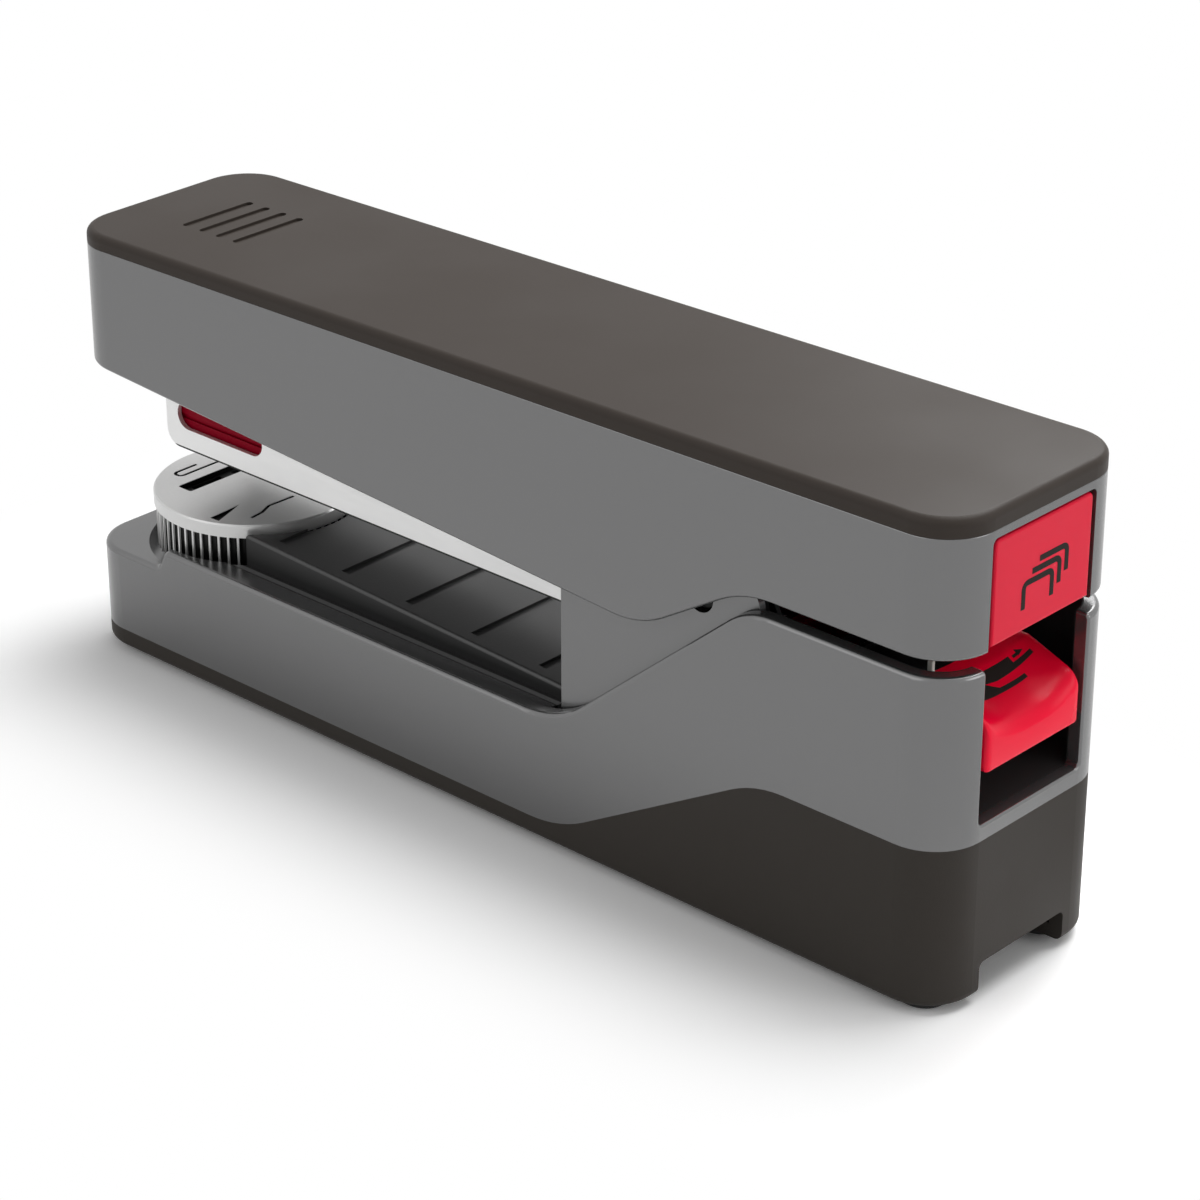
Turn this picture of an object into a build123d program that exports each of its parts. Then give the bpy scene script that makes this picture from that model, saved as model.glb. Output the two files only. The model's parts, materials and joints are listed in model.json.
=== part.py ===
"""Desk stapler with a turntable anvil, a pull-out staple drawer and two red controls at the back.

X runs along the stapler with the nose towards -X, Y runs across it and Z is up.
The origin is on the table, under the middle of the base. All sizes are in millimetres.
"""

import os
from math import atan2, cos, degrees, pi, sin, sqrt, tan

from build123d import *

os.makedirs("parts", exist_ok=True)

# Overall body
length = 183.0
width = 40.0
plan_corner = 8.4
half_l = length / 2
half_w = width / 2
nose_x = -half_l
rear_x = half_l

# Base heights, from the table up
pad_height = 1.2
seam_front_z = 4.7
seam_rear_z = 27.0
rim_nose_z = 19.3
rim_front_z = 22.9
rim_rear_z = 54.0
seam_foot_from_rear = 73.2
seam_foot_x = rear_x - seam_foot_from_rear
seam_top_from_rear = 34.1
seam_top_x = rear_x - seam_top_from_rear
rim_foot_from_rear = 73.7
rim_foot_x = rear_x - rim_foot_from_rear
rim_top_from_rear = 36.7
rim_top_x = rear_x - rim_top_from_rear
seam_foot_bend = 23.0
seam_top_bend = 20.0
rim_foot_bend = 20.0
rim_top_bend = 12.0
nose_step_from_nose = 18.4
nose_step_x = nose_x + nose_step_from_nose
nose_step_run = 1.8
nose_step_bend = 1.6

# Handle heights
handle_nose_z = 52.4
handle_foot_z = 44.6
handle_rear_z = 56.6
handle_foot_from_rear = 56.9
handle_foot_x = rear_x - handle_foot_from_rear
handle_top_from_rear = 37.2
handle_top_x = rear_x - handle_top_from_rear
handle_foot_bend = 17.0
handle_top_bend = 19.0
handle_edge = 0.5
cover_front_z = 72.8
cover_rear_z = 75.1
cover_front_thickness = 2.4
cover_rear_thickness = 2.9
cover_edge = 1.2
grip_count = 4
grip_from_nose = 15.0
grip_pitch = 4.0
grip_length = 15.0
grip_width = 1.4
grip_depth = 0.45
handle_wall = 2.0
handle_roof = 1.6
edge_round = 0.6
rim_round = 0.8
seam_round = 0.25

# Base walls
shell_wall = 2.4
tray_wall = 2.4
tray_floor = 2.2
tray_edge = 1.4
plate_thickness = 2.2
tray_top_z = pad_height + tray_floor

# Pads and base screws
pad_length = 26.0
pad_width = 7.6
pad_depth = 0.8
pad_inset_x = 15.9
pad_inset_y = 6.1
pad_edge = 0.4
pad_screw_gap = 0.1
screw_radius = 1.5
screw_head_radius = 2.9
screw_head_height = 1.3
screw_clearance = 0.05
screw_head_sink = 0.2
cross_width = 0.7
cross_rim = 0.8
cross_depth = 0.6
boss_radius = 3.6
nose_screw_from_nose = 9.5
nose_screw_y = half_w - pad_inset_y - pad_width / 2 - screw_head_radius - pad_screw_gap
yoke_screw_y = 9.0
yoke_screw_inset = 4.0

# Rear openings
opening_half = 11.8
opening_floor_z = 29.5
opening_corner = 1.0
opening_edge = 0.4
notch_half = 10.0
notch_height = 5.3

# Pivot
pin_from_rear = 47.5
pin_x = rear_x - pin_from_rear
pin_z = 51.7
pin_radius = 2.5
pin_recess = 1.0
pin_chamfer = 0.4
fit_gap = 0.05
cheek_gap = 0.4
cheek_wall = 2.0
cheek_front_before_pin = 27.5
cheek_front_x = pin_x - cheek_front_before_pin
cheek_rear_behind_pin = 11.5
cheek_rear_x = pin_x + cheek_rear_behind_pin
cheek_rise = 6.3
cheek_top_z = pin_z + cheek_rise
cheek_bend = 6.0
yoke_floor = 1.6
paper_stop_drop = 2.4
cheek_out = half_w - shell_wall - cheek_gap
cheek_in = cheek_out - cheek_wall
ear_gap = 0.6
ear_wall = 1.5
ear_out = cheek_in - ear_gap
ear_in = ear_out - ear_wall
ear_radius = 6.0
bush_radius = 4.0

# Anvil
anvil_from_nose = 21.5
anvil_x = nose_x + anvil_from_nose
anvil_radius = 17.3
anvil_rise = 6.3
anvil_top_z = rim_front_z + anvil_rise
anvil_height = 9.8
anvil_sink = 2.4
anvil_band = 2.3
anvil_gap = 1.2
anvil_edge = 0.25
knurl_count = 64
knurl_radius = 0.65
knurl_inset = 0.3
spigot_radius = 6.0
spigot_overhang = 0.6
anvil_seat_radius = 12.0
anvil_rest_gap = 0.15
washer_thickness = 0.5
washer_inset = 1.0
washer_bore_gap = 0.2
retainer_thickness = 1.2
retainer_overlap = 2.0
retainer_head = 1.4
retainer_reach = 4.8
retainer_end_gap = 0.2
slot_x = -7.0
slot_width = 3.2
slot_half = 10.0
slot_depth = 2.4
slot_corner = 0.5
anvil_plate_depth = 0.9
clinch_half = 1.0
clinch_inner = 1.2
clinch_outer = 7.6
clinch_depth = 0.6
mark_line = 0.6
mark_depth = 0.4
bracket_mark = [(-13.1, -1.8), (-13.1, -7.0), (-11.3, -7.0), (-11.3, 2.4)]
bracket_bend = 0.85
pointer_mark = [(4.8, -14.8), (6.8, -14.7), (4.5, -8.0)]
step_mark = [(9.8, -10.2), (9.5, -7.5), (8.4, -5.0), (8.6, 0.5)]
anvil_floor_z = anvil_top_z - anvil_height

# Deck
deck_half = 13.8
deck_flange_half = 15.8
deck_flange = 1.2
deck_fit = 0.1
deck_flange_sink = 0.3
deck_drop = 0.5
deck_rear_rise = 2.1
deck_rear_gap = 2.5
deck_front_z = anvil_top_z - deck_drop
deck_rear_z = rim_front_z + deck_rear_rise
deck_rear_x = cheek_front_x - deck_rear_gap
deck_plug_half = 12.0
deck_plug_depth = 1.0
deck_plug_margin = 3.0
groove_pitch = 14.6
groove_width = 1.8
groove_depth = 0.5
groove_half = 11.4
groove_from_anvil = 18.7

# Magazine
throat = 6.6
mag_half = 8.5
mag_wall = 0.8
mag_height = 11.2
mag_bottom_z = anvil_top_z + throat
mag_front_from_nose = 10.5
mag_front_x = nose_x + mag_front_from_nose
mag_rear_behind_pin = 19.0
mag_rear_x = pin_x + mag_rear_behind_pin
mag_corner = 3.0
mag_in = mag_half - mag_wall
mag_top_z = mag_bottom_z + mag_height
mag_ear_radius = 5.5
mag_ear_half_length = 8.0
window_start = 1.6
window_length = 20.7
window_height = 5.0
window_rise = 3.7
bridge_thickness = 1.2
bridge_front_before_pin = 32.0
bridge_front_x = pin_x - bridge_front_before_pin
bridge_rear_before_pin = 12.0
bridge_rear_x = pin_x - bridge_rear_before_pin
catch_wall = 0.6
catch_width = 8.0
catch_drop = 2.0

# Staple drawer
drawer_gap = 0.25
drawer_wall = 0.7
drawer_floor = 0.7
drawer_lift = 0.2
drawer_half = mag_in - drawer_gap
drawer_in = drawer_half - drawer_wall
drawer_bottom_z = mag_bottom_z + mag_wall + drawer_lift
drawer_floor_z = drawer_bottom_z + drawer_floor
drawer_side = 6.1
drawer_cheek_length = 23.0
drawer_cheek_rise = 3.0
side_groove_rise = 4.0
side_groove_height = 0.8
side_groove_depth = 0.35
side_groove_start = 1.0
side_groove_length = 21.0
nose_plate = 1.2
nose_plate_edge = 0.5
nose_plate_rise = 2.2
blade_slot = 2.4
drawer_rail_x = mag_front_x + blade_slot
drawer_back_behind_pin = 3.0
drawer_back_x = pin_x + drawer_back_behind_pin
drawer_back_wall = 2.0
drawer_tail_behind_pin = 17.0
drawer_tail_x = pin_x + drawer_tail_behind_pin
drawer_tie = 2.0
drawer_top_z = drawer_bottom_z + drawer_side

# Staples, pusher, rod and its spring
staple_half = 6.35
staple_wire = 0.5
staple_height = 5.6
staple_pitch = 0.75
staple_cut_width = 0.2
staple_cut_height = 0.3
strip_length = 60.0
strip_gap = 0.2
seat_gap = 0.05
rod_radius = 1.3
rod_inset = 1.0
rod_rise = 2.9
rod_z = drawer_floor_z + rod_rise
post_length = 3.0
post_half = 4.6
post_height = 4.6
pusher_length = 12.0
pusher_height = 5.0
pusher_gap = 0.2
pusher_chamfer = 0.5
pusher_spring_turns = 24
pusher_spring_radius = 2.1
pusher_spring_wire = 0.35

# Driver blade and its holder
blade_thickness = 0.8
blade_half = 6.2
blade_height = 18.0
blade_offset = 0.6
blade_lift = 0.35
holder_half = 6.3
holder_length = 8.0
holder_drop = 0.4
holder_chamfer = 1.0
holder_boss_radius = 2.6
holder_bottom_z = handle_nose_z - holder_drop
holder_top_z = 66.0
blade_screw_radius = 1.2
blade_screw_half = 3.6
blade_screw_rise = 5.0
blade_screw_depth = 4.0
blade_screw_end_gap = 0.2
blade_screw_head = 1.0
blade_screw_head_radius = 2.2

# Handle frame
frame_plate_z = 69.3
frame_plate = 1.5
frame_front_before_pin = 32.0
frame_front_x = pin_x - frame_front_before_pin
frame_rear_behind_pin = 25.0
frame_rear_x = pin_x + frame_rear_behind_pin
upright_behind_pin = 23.5
upright_x = pin_x + upright_behind_pin
upright_wall = 1.5
upright_half = 10.5
upright_rise = 3.0
upright_bottom_z = handle_rear_z + upright_rise
frame_screw_y = 9.0
frame_screw_front_inset = 4.0
frame_screw_rear_inset = 6.0
frame_screw_reach = 1.0
frame_screw_end_gap = 0.2

# Load button
button_gap = 0.6
button_depth = 11.5
button_travel = 4.0
button_top_round = 1.0
button_edge = 0.5
button_wall = 2.0
button_half = opening_half - button_gap
button_sill = 0.6
button_bottom_z = handle_rear_z + button_sill
button_roof_gap = 0.4
button_roof_cut = 0.3
stem_radius = 1.8
stem_half = 6.0
stem_rise = 8.0
stem_z = handle_rear_z + stem_rise
stem_overrun = 5.0
button_spring_wire = 0.3
button_spring_radius = 2.7
button_spring_turns = 6

# Release lever
lever_gap = 0.9
lever_half = opening_half - lever_gap
lever_pin_from_rear = 21.5
lever_pin_x = rear_x - lever_pin_from_rear
lever_pin_z = 45.4
lever_pin_radius = 1.5
lever_hub = 3.6
lever_top_from_rear = 9.3
lever_top_rise = 3.2
lever_rise = 7.9
lever_bottom_z = opening_floor_z + lever_rise
lever_nose_bend = 3.2
lever_face = 6.6
lever_lip = 5.0
lever_lip_bend = 2.0
lever_corner = 1.6
lever_post_gap = 0.5
lever_post_wall = 2.0
lever_post_half_length = 4.0
bulkhead_wall = 1.0
bulkhead_gap = 0.4
bulkhead_x = lever_pin_x - lever_hub - bulkhead_gap - bulkhead_wall
bulkhead_rise = 1.0
bulkhead_top_z = lever_pin_z + bulkhead_rise
lever_spring_from_rear = 15.0
lever_spring_x = rear_x - lever_spring_from_rear
lever_spring_wire = 0.35
lever_spring_radius = 2.6
lever_spring_turns = 6
lever_spring_length = 10.5
lever_spring_pocket = 3.6
spring_stub_radius = 1.9
spring_stub_height = 4.0

# Upright springs
return_spring_before_pin = 16.0
return_spring_x = pin_x - return_spring_before_pin
return_spring_wire = 0.5
return_spring_radius = 5.0
return_spring_turns = 8
return_stub_radius = 4.2
return_stub_height = 9.0
handle_spring_before_pin = 24.0
handle_spring_x = pin_x - handle_spring_before_pin
handle_spring_wire = 0.45
handle_spring_radius = 4.0
handle_spring_turns = 7
handle_stub_radius = 3.2
handle_stub_height = 3.0

facing_limit = 0.3
helix_steps = 24
cut_margin = 5.0
tall = cover_rear_z + cover_rear_thickness + cut_margin


def finish(piece, name):
    """Name a finished piece and write it to its own file."""
    piece.part.label = name
    export_step(piece.part, f"parts/{name}.step")


def seam_points():
    """Wave line between the tray and the base shell, nose to rear."""
    return [
        (nose_x, seam_front_z),
        (seam_foot_x, seam_front_z),
        (seam_top_x, seam_rear_z),
        (rear_x, seam_rear_z),
    ]


def outline_edges(faces):
    """Edges of these faces that lie on the body's outer outline, not the ones that run across it."""
    edges = faces.edges()
    sides = edges.filter_by(lambda edge: abs(edge.center().Y) > edge_round)
    ends = edges.filter_by(lambda edge: abs(edge.center().Y) <= edge_round)
    return sides + ends.filter_by(lambda edge: abs(edge.center().X) > half_l - edge_round)


def on_rear_opening(spot):
    """Whether an edge's middle lies on the outer rim of the base's rear opening."""
    across = abs(spot.Y) < opening_half + fit_gap
    return across and spot.Z > opening_floor_z - fit_gap and spot.X > rear_x - edge_round / 2


def plan_outline(inset):
    """Rounded outline of the body seen from above, drawn in by the inset."""
    return RectangleRounded(length - 2 * inset, width - 2 * inset, plan_corner - inset)


def biarc(start, start_way, end, end_way):
    """Two arcs that join smoothly from one point and direction to another, in the open line."""
    span = end - start
    ways = start_way + end_way
    square = 2 * (start_way.dot(end_way) - 1)
    linear = -2 * span.dot(ways)
    root = sqrt(linear * linear - 4 * square * span.dot(span))
    reach = (-linear - root) / (2 * square)
    knee_a = start + start_way * reach
    knee_b = end - end_way * reach
    joint = (knee_a + knee_b) * 0.5
    for first, knee, last in ((start, knee_a, joint), (joint, knee_b, end)):
        middle = (first + last) * 0.5
        half = (last - first).length / 2
        rise = (knee - middle).length
        bulge = half * (reach - half) / (rise * rise)
        ThreePointArc(first, middle + (knee - middle) * bulge, last)


def coil_points(radius, rise, turns, per_turn):
    """Points of a helix along +Z from its own start, with their directions."""
    pitch = rise / turns
    climb = pitch / (2 * pi * radius)
    stretch = sqrt(1 + climb * climb)
    rows = []
    for step in range(turns * per_turn + 1):
        angle = 2 * pi * step / per_turn
        point = Vector(radius * cos(angle), radius * sin(angle), pitch * step / per_turn)
        way = Vector(-sin(angle), cos(angle), climb) / stretch
        rows.append((point, way))
    return rows


def coil(radius, wire, rise, turns):
    """Spring wire wound up +Z between z = 0 and z = rise, as one unbroken tube."""
    rows = coil_points(radius, rise - 2 * wire, turns, 2)
    lift = Vector(0, 0, wire)
    with BuildPart() as spring:
        with BuildLine():
            for (start, start_way), (end, end_way) in zip(rows, rows[1:]):
                biarc(start + lift, start_way, end + lift, end_way)
        with BuildSketch(Plane(rows[0][0] + lift, x_dir=(1, 0, 0), z_dir=rows[0][1])):
            Circle(wire)
        sweep()
    fine = [point for point, _ in coil_points(radius, rise - 2 * wire, turns, helix_steps)]
    apart = min(
        (fine[later] - fine[first]).length
        for first in range(helix_steps)
        for later in range(first + helix_steps // 2, min(first + 2 * helix_steps, len(fine)))
    )
    print(f"spring of {turns} turns: least gap {apart - 2 * wire:.2f} mm")
    return spring.part


# Base tray, with its screw holes, pad pockets and rear finger notch
screw_spots = [
    (nose_x + nose_screw_from_nose, nose_screw_y),
    (nose_x + nose_screw_from_nose, -nose_screw_y),
    (cheek_front_x + yoke_screw_inset, yoke_screw_y),
    (cheek_front_x + yoke_screw_inset, -yoke_screw_y),
    (cheek_rear_x - yoke_screw_inset, yoke_screw_y),
    (cheek_rear_x - yoke_screw_inset, -yoke_screw_y),
]
pad_spots = [
    (end * (half_l - pad_inset_x), side * (half_w - pad_inset_y)) for end in (-1, 1) for side in (-1, 1)
]

with BuildPart() as base_tray:
    with BuildSketch(Plane.XZ):
        with BuildLine():
            FilletPolyline(
                (nose_x, pad_height),
                *seam_points(),
                (rear_x, pad_height),
                radius=[0, 0, seam_foot_bend, seam_top_bend, 0, 0],
                close=True,
            )
        make_face()
    extrude(amount=half_w, both=True)
    with BuildSketch(Plane.XY):
        plan_outline(0)
    extrude(amount=tall, mode=Mode.INTERSECT)
    fillet(base_tray.faces().sort_by(Axis.Z)[0].edges(), tray_edge)
    with BuildSketch(Plane.XY.offset(tray_top_z)):
        plan_outline(tray_wall)
    extrude(amount=tall, mode=Mode.SUBTRACT)
    with BuildSketch(Plane.YZ.offset(rear_x - tray_wall - cut_margin)):
        with Locations((0, pad_height)):
            RectangleRounded(2 * notch_half, 2 * notch_height, opening_corner)
    extrude(amount=tray_wall + 2 * cut_margin, mode=Mode.SUBTRACT)
    with BuildSketch(Plane.XY.offset(pad_height)):
        with Locations(*pad_spots):
            SlotOverall(pad_length, pad_width)
    extrude(amount=pad_depth, mode=Mode.SUBTRACT)
    with BuildSketch(Plane.XY):
        with Locations(*screw_spots):
            Circle(screw_radius + screw_clearance)
    extrude(amount=tray_top_z, mode=Mode.SUBTRACT)
    with BuildSketch(Plane.XY):
        with Locations(*screw_spots):
            Circle(screw_head_radius + screw_clearance)
    extrude(amount=pad_height + screw_head_height, mode=Mode.SUBTRACT)
finish(base_tray, "base_tray")

# Anti-slip pads, seated in the tray's pockets
with BuildPart() as anti_slip_pads:
    with BuildSketch(Plane.XY):
        with Locations(*pad_spots):
            SlotOverall(pad_length - 2 * deck_fit, pad_width - 2 * deck_fit)
    extrude(amount=pad_height + pad_depth)
    fillet(anti_slip_pads.faces().group_by(Axis.Z)[0].edges(), pad_edge)
finish(anti_slip_pads, "anti_slip_pads")

# Base screws
with BuildPart() as base_screws:
    with BuildSketch(Plane.XY.offset(pad_height + screw_head_sink)):
        with Locations(*screw_spots):
            Circle(screw_head_radius)
    extrude(amount=screw_head_height - screw_head_sink)
    with BuildSketch(Plane.XY.offset(pad_height + screw_head_height)):
        with Locations(*screw_spots):
            Circle(screw_radius)
    extrude(amount=tray_floor - screw_head_height + yoke_floor)
    with BuildSketch(Plane.XY.offset(pad_height + screw_head_sink)):
        with Locations(*screw_spots):
            Rectangle(2 * (screw_head_radius - cross_rim), cross_width)
            Rectangle(cross_width, 2 * (screw_head_radius - cross_rim))
    extrude(amount=cross_depth, mode=Mode.SUBTRACT)
finish(base_screws, "base_screws")

# Base shell: outer wall with nose step and ramp, the nose floor, the deck ledge and the lever's seat
lever_post_y = lever_half + lever_post_gap + lever_post_wall / 2
lever_spring_top_z = opening_floor_z + lever_spring_length
ledge_bottom_z = rim_front_z - plate_thickness
pocket_floor_z = rim_nose_z - anvil_sink
nose_floor_bottom_z = pocket_floor_z - plate_thickness
nose_floor_rear_x = anvil_x + anvil_radius + anvil_gap + plate_thickness
deck_mid_x = (anvil_x + deck_rear_x) / 2
deck_span = deck_rear_x - anvil_x
deck_plug_mid_x = (nose_floor_rear_x + deck_rear_x) / 2
deck_plug_length = deck_rear_x - nose_floor_rear_x - 2 * deck_plug_margin

with BuildPart() as base_shell:
    with BuildSketch(Plane.XZ):
        with BuildLine():
            FilletPolyline(
                *seam_points(),
                (rear_x, rim_rear_z),
                (rim_top_x, rim_rear_z),
                (rim_foot_x, rim_front_z),
                (nose_step_x + nose_step_run, rim_front_z),
                (nose_step_x, rim_nose_z),
                (nose_x, rim_nose_z),
                radius=[
                    0,
                    seam_foot_bend,
                    seam_top_bend,
                    0,
                    0,
                    rim_top_bend,
                    rim_foot_bend,
                    nose_step_bend,
                    nose_step_bend,
                    0,
                ],
                close=True,
            )
        make_face()
    extrude(amount=half_w, both=True)
    with BuildSketch(Plane.XY):
        plan_outline(0)
    extrude(amount=tall, mode=Mode.INTERSECT)
    rim_faces = base_shell.faces().filter_by(lambda face: face.normal_at().Z > facing_limit)
    fillet(outline_edges(rim_faces), rim_round)
    with BuildSketch(Plane.XY):
        plan_outline(shell_wall)
    extrude(amount=tall, mode=Mode.SUBTRACT)
    with BuildSketch(Plane.XY.offset(ledge_bottom_z)):
        plan_outline(shell_wall)
        with Locations((half_l + deck_rear_x + deck_fit, 0)):
            Rectangle(length, width, mode=Mode.SUBTRACT)
        with Locations((-half_l + anvil_x, 0)):
            Rectangle(length, width, mode=Mode.SUBTRACT)
    extrude(amount=plate_thickness)
    with BuildSketch(Plane.XY.offset(nose_floor_bottom_z)):
        plan_outline(shell_wall)
        with Locations((half_l + nose_floor_rear_x, 0)):
            Rectangle(length, width, mode=Mode.SUBTRACT)
    extrude(amount=rim_nose_z - nose_floor_bottom_z)
    with BuildSketch(Plane.XY.offset(pocket_floor_z)):
        with Locations((anvil_x, 0)):
            Circle(anvil_radius + anvil_gap)
    extrude(amount=tall, mode=Mode.SUBTRACT)
    with BuildSketch(Plane.XY.offset(pocket_floor_z)):
        with Locations((anvil_x, 0)):
            Circle(anvil_seat_radius)
    extrude(amount=anvil_floor_z - anvil_rest_gap - washer_thickness - pocket_floor_z)
    with BuildSketch(Plane.XY):
        with Locations((anvil_x, 0)):
            Circle(spigot_radius + fit_gap)
    extrude(amount=tall, mode=Mode.SUBTRACT)
    with BuildSketch(Plane.XY.offset(rim_front_z - deck_flange)):
        with Locations((deck_mid_x, 0)):
            Rectangle(deck_span + 2 * deck_fit, 2 * deck_flange_half + 2 * deck_fit)
    extrude(amount=tall, mode=Mode.SUBTRACT)
    with BuildSketch(Plane.XY.offset(nose_floor_bottom_z)):
        with Locations((deck_plug_mid_x, 0)):
            Rectangle(deck_plug_length, 2 * deck_plug_half + 2 * deck_fit)
    extrude(amount=rim_front_z, mode=Mode.SUBTRACT)
    with BuildSketch(Plane.XY.offset(tray_top_z)):
        with Locations(*screw_spots[:2]):
            Circle(boss_radius)
    extrude(amount=nose_floor_bottom_z - tray_top_z)
    with BuildSketch(Plane.XY.offset(tray_top_z)):
        with Locations(*screw_spots[:2]):
            Circle(screw_radius + screw_clearance)
    extrude(amount=yoke_floor + screw_clearance, mode=Mode.SUBTRACT)
    with BuildSketch(Plane.YZ.offset(rear_x - shell_wall - cut_margin)):
        with Locations((0, opening_floor_z + half_w)):
            RectangleRounded(2 * opening_half, width, opening_corner)
    extrude(amount=shell_wall + 2 * cut_margin, mode=Mode.SUBTRACT)
    opening_edges = base_shell.edges().filter_by(lambda edge: on_rear_opening(edge.center()))
    fillet(opening_edges, opening_edge)
    with BuildSketch(Plane.XY.offset(opening_floor_z - plate_thickness)):
        plan_outline(shell_wall)
        with Locations((bulkhead_x - half_l, 0)):
            Rectangle(length, width, mode=Mode.SUBTRACT)
    extrude(amount=plate_thickness)
    with BuildSketch(Plane.YZ.offset(bulkhead_x)):
        with Locations((0, (opening_floor_z + bulkhead_top_z) / 2)):
            Rectangle(width - 2 * shell_wall, bulkhead_top_z - opening_floor_z)
    extrude(amount=bulkhead_wall)
    with BuildSketch(Plane.XY.offset(opening_floor_z)):
        with Locations((lever_pin_x, lever_post_y), (lever_pin_x, -lever_post_y)):
            Rectangle(2 * lever_post_half_length, lever_post_wall)
    extrude(amount=lever_pin_z + lever_post_half_length - opening_floor_z)
    with BuildSketch(Plane.XZ):
        with Locations((lever_pin_x, lever_pin_z)):
            Circle(lever_pin_radius + fit_gap)
    extrude(amount=lever_post_y + lever_post_wall, both=True, mode=Mode.SUBTRACT)
    with BuildSketch(Plane.XY.offset(opening_floor_z)):
        with Locations((lever_spring_x, 0)):
            Circle(spring_stub_radius)
    extrude(amount=spring_stub_height)
finish(base_shell, "base_shell")

# Deck insert, a ribbed wedge that falls away behind the anvil
deck_x0 = anvil_x + deck_fit
deck_x1 = deck_rear_x - deck_fit
deck_slope = (deck_front_z - deck_rear_z) / (deck_x1 - deck_x0)
groove_tilt = degrees(atan2(deck_front_z - deck_rear_z, deck_x1 - deck_x0))
groove_start = anvil_x + groove_from_anvil
groove_count = int((deck_rear_x - groove_start - groove_width) // groove_pitch) + 1
with BuildPart() as deck_insert:
    with BuildSketch(Plane.XZ):
        with BuildLine():
            Polyline(
                (deck_x0, rim_front_z - deck_flange),
                (deck_x1, rim_front_z - deck_flange),
                (deck_x1, deck_rear_z),
                (deck_x0, deck_front_z),
                close=True,
            )
        make_face()
    extrude(amount=deck_half, both=True)
    deck_edges = deck_insert.faces().sort_by(Axis.Z)[-1].edges()
    fillet(deck_edges.filter_by(lambda edge: abs(edge.center().Y) > edge_round), edge_round)
    with BuildSketch(Plane.XY.offset(rim_front_z - deck_flange)):
        with Locations((deck_mid_x, 0)):
            Rectangle(deck_span - 2 * deck_fit, 2 * deck_flange_half)
    extrude(amount=deck_flange - deck_flange_sink)
    with BuildSketch(Plane.XY.offset(rim_front_z - deck_flange)):
        with Locations((deck_plug_mid_x, 0)):
            Rectangle(deck_plug_length - 2 * deck_fit, 2 * deck_plug_half)
    extrude(amount=-deck_plug_depth)
    with BuildSketch(Plane.XY):
        with Locations((anvil_x, 0)):
            Circle(anvil_radius + anvil_gap)
    extrude(amount=tall, mode=Mode.SUBTRACT)
    for index in range(groove_count):
        x = groove_start + index * groove_pitch
        z = deck_front_z - deck_slope * (x - deck_x0)
        with Locations(Location((x, 0, z), (0, groove_tilt, 0))):
            Box(groove_width, 2 * groove_half, 2 * groove_depth, mode=Mode.SUBTRACT)
finish(deck_insert, "deck_insert")

# Pivot yoke: two cheeks and the paper stop on one floor, screwed to the tray
with BuildPart() as pivot_yoke:
    with BuildSketch(Plane.XZ):
        with BuildLine():
            FilletPolyline(
                (cheek_front_x, tray_top_z),
                (cheek_rear_x, tray_top_z),
                (cheek_rear_x, cheek_top_z),
                (cheek_front_x, cheek_top_z),
                radius=[0, 0, cheek_bend, cheek_bend],
                close=True,
            )
        make_face()
    extrude(amount=cheek_out, both=True)
    with BuildSketch(Plane.YZ.offset(cheek_front_x - cut_margin)):
        with Locations((0, tray_top_z + yoke_floor + tall / 2)):
            Rectangle(2 * cheek_in, tall)
    extrude(amount=cheek_rear_x - cheek_front_x + 2 * cut_margin, mode=Mode.SUBTRACT)
    with BuildSketch(Plane.XZ):
        with Locations((pin_x, pin_z)):
            Circle(pin_radius + fit_gap)
    extrude(amount=half_w, both=True, mode=Mode.SUBTRACT)
    with BuildSketch(Plane.XY.offset(tray_top_z)):
        with Locations(*screw_spots[2:]):
            Circle(screw_radius + screw_clearance)
    extrude(amount=yoke_floor, mode=Mode.SUBTRACT)
    with BuildSketch(Plane.XY.offset(tray_top_z)):
        with Locations((cheek_front_x + cheek_wall / 2, 0)):
            Rectangle(cheek_wall, 2 * cheek_out)
    extrude(amount=mag_bottom_z - paper_stop_drop - tray_top_z)
    with BuildSketch(Plane.XY.offset(tray_top_z + yoke_floor)):
        with Locations((return_spring_x, 0)):
            Circle(return_stub_radius)
    extrude(amount=return_stub_height)
finish(pivot_yoke, "pivot_yoke")

# Hinge pin across the cheeks
with BuildPart() as hinge_pin:
    with BuildSketch(Plane.XZ):
        with Locations((pin_x, pin_z)):
            Circle(pin_radius)
    extrude(amount=cheek_out - pin_recess, both=True)
    chamfer(hinge_pin.edges().filter_by(GeomType.CIRCLE), pin_chamfer)
finish(hinge_pin, "hinge_pin")

# Spacer sleeves that keep the magazine in the middle of the pin
spacer_length = ear_in - mag_half - 2 * seat_gap
with BuildPart() as pin_spacers:
    for side in (-1, 1):
        with BuildSketch(Plane.XZ.offset(-side * (mag_half + seat_gap + spacer_length / 2))):
            with Locations((pin_x, pin_z)):
                Circle(bush_radius)
                Circle(pin_radius + fit_gap, mode=Mode.SUBTRACT)
        extrude(amount=spacer_length / 2, both=True)
finish(pin_spacers, "pin_spacers")

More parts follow.
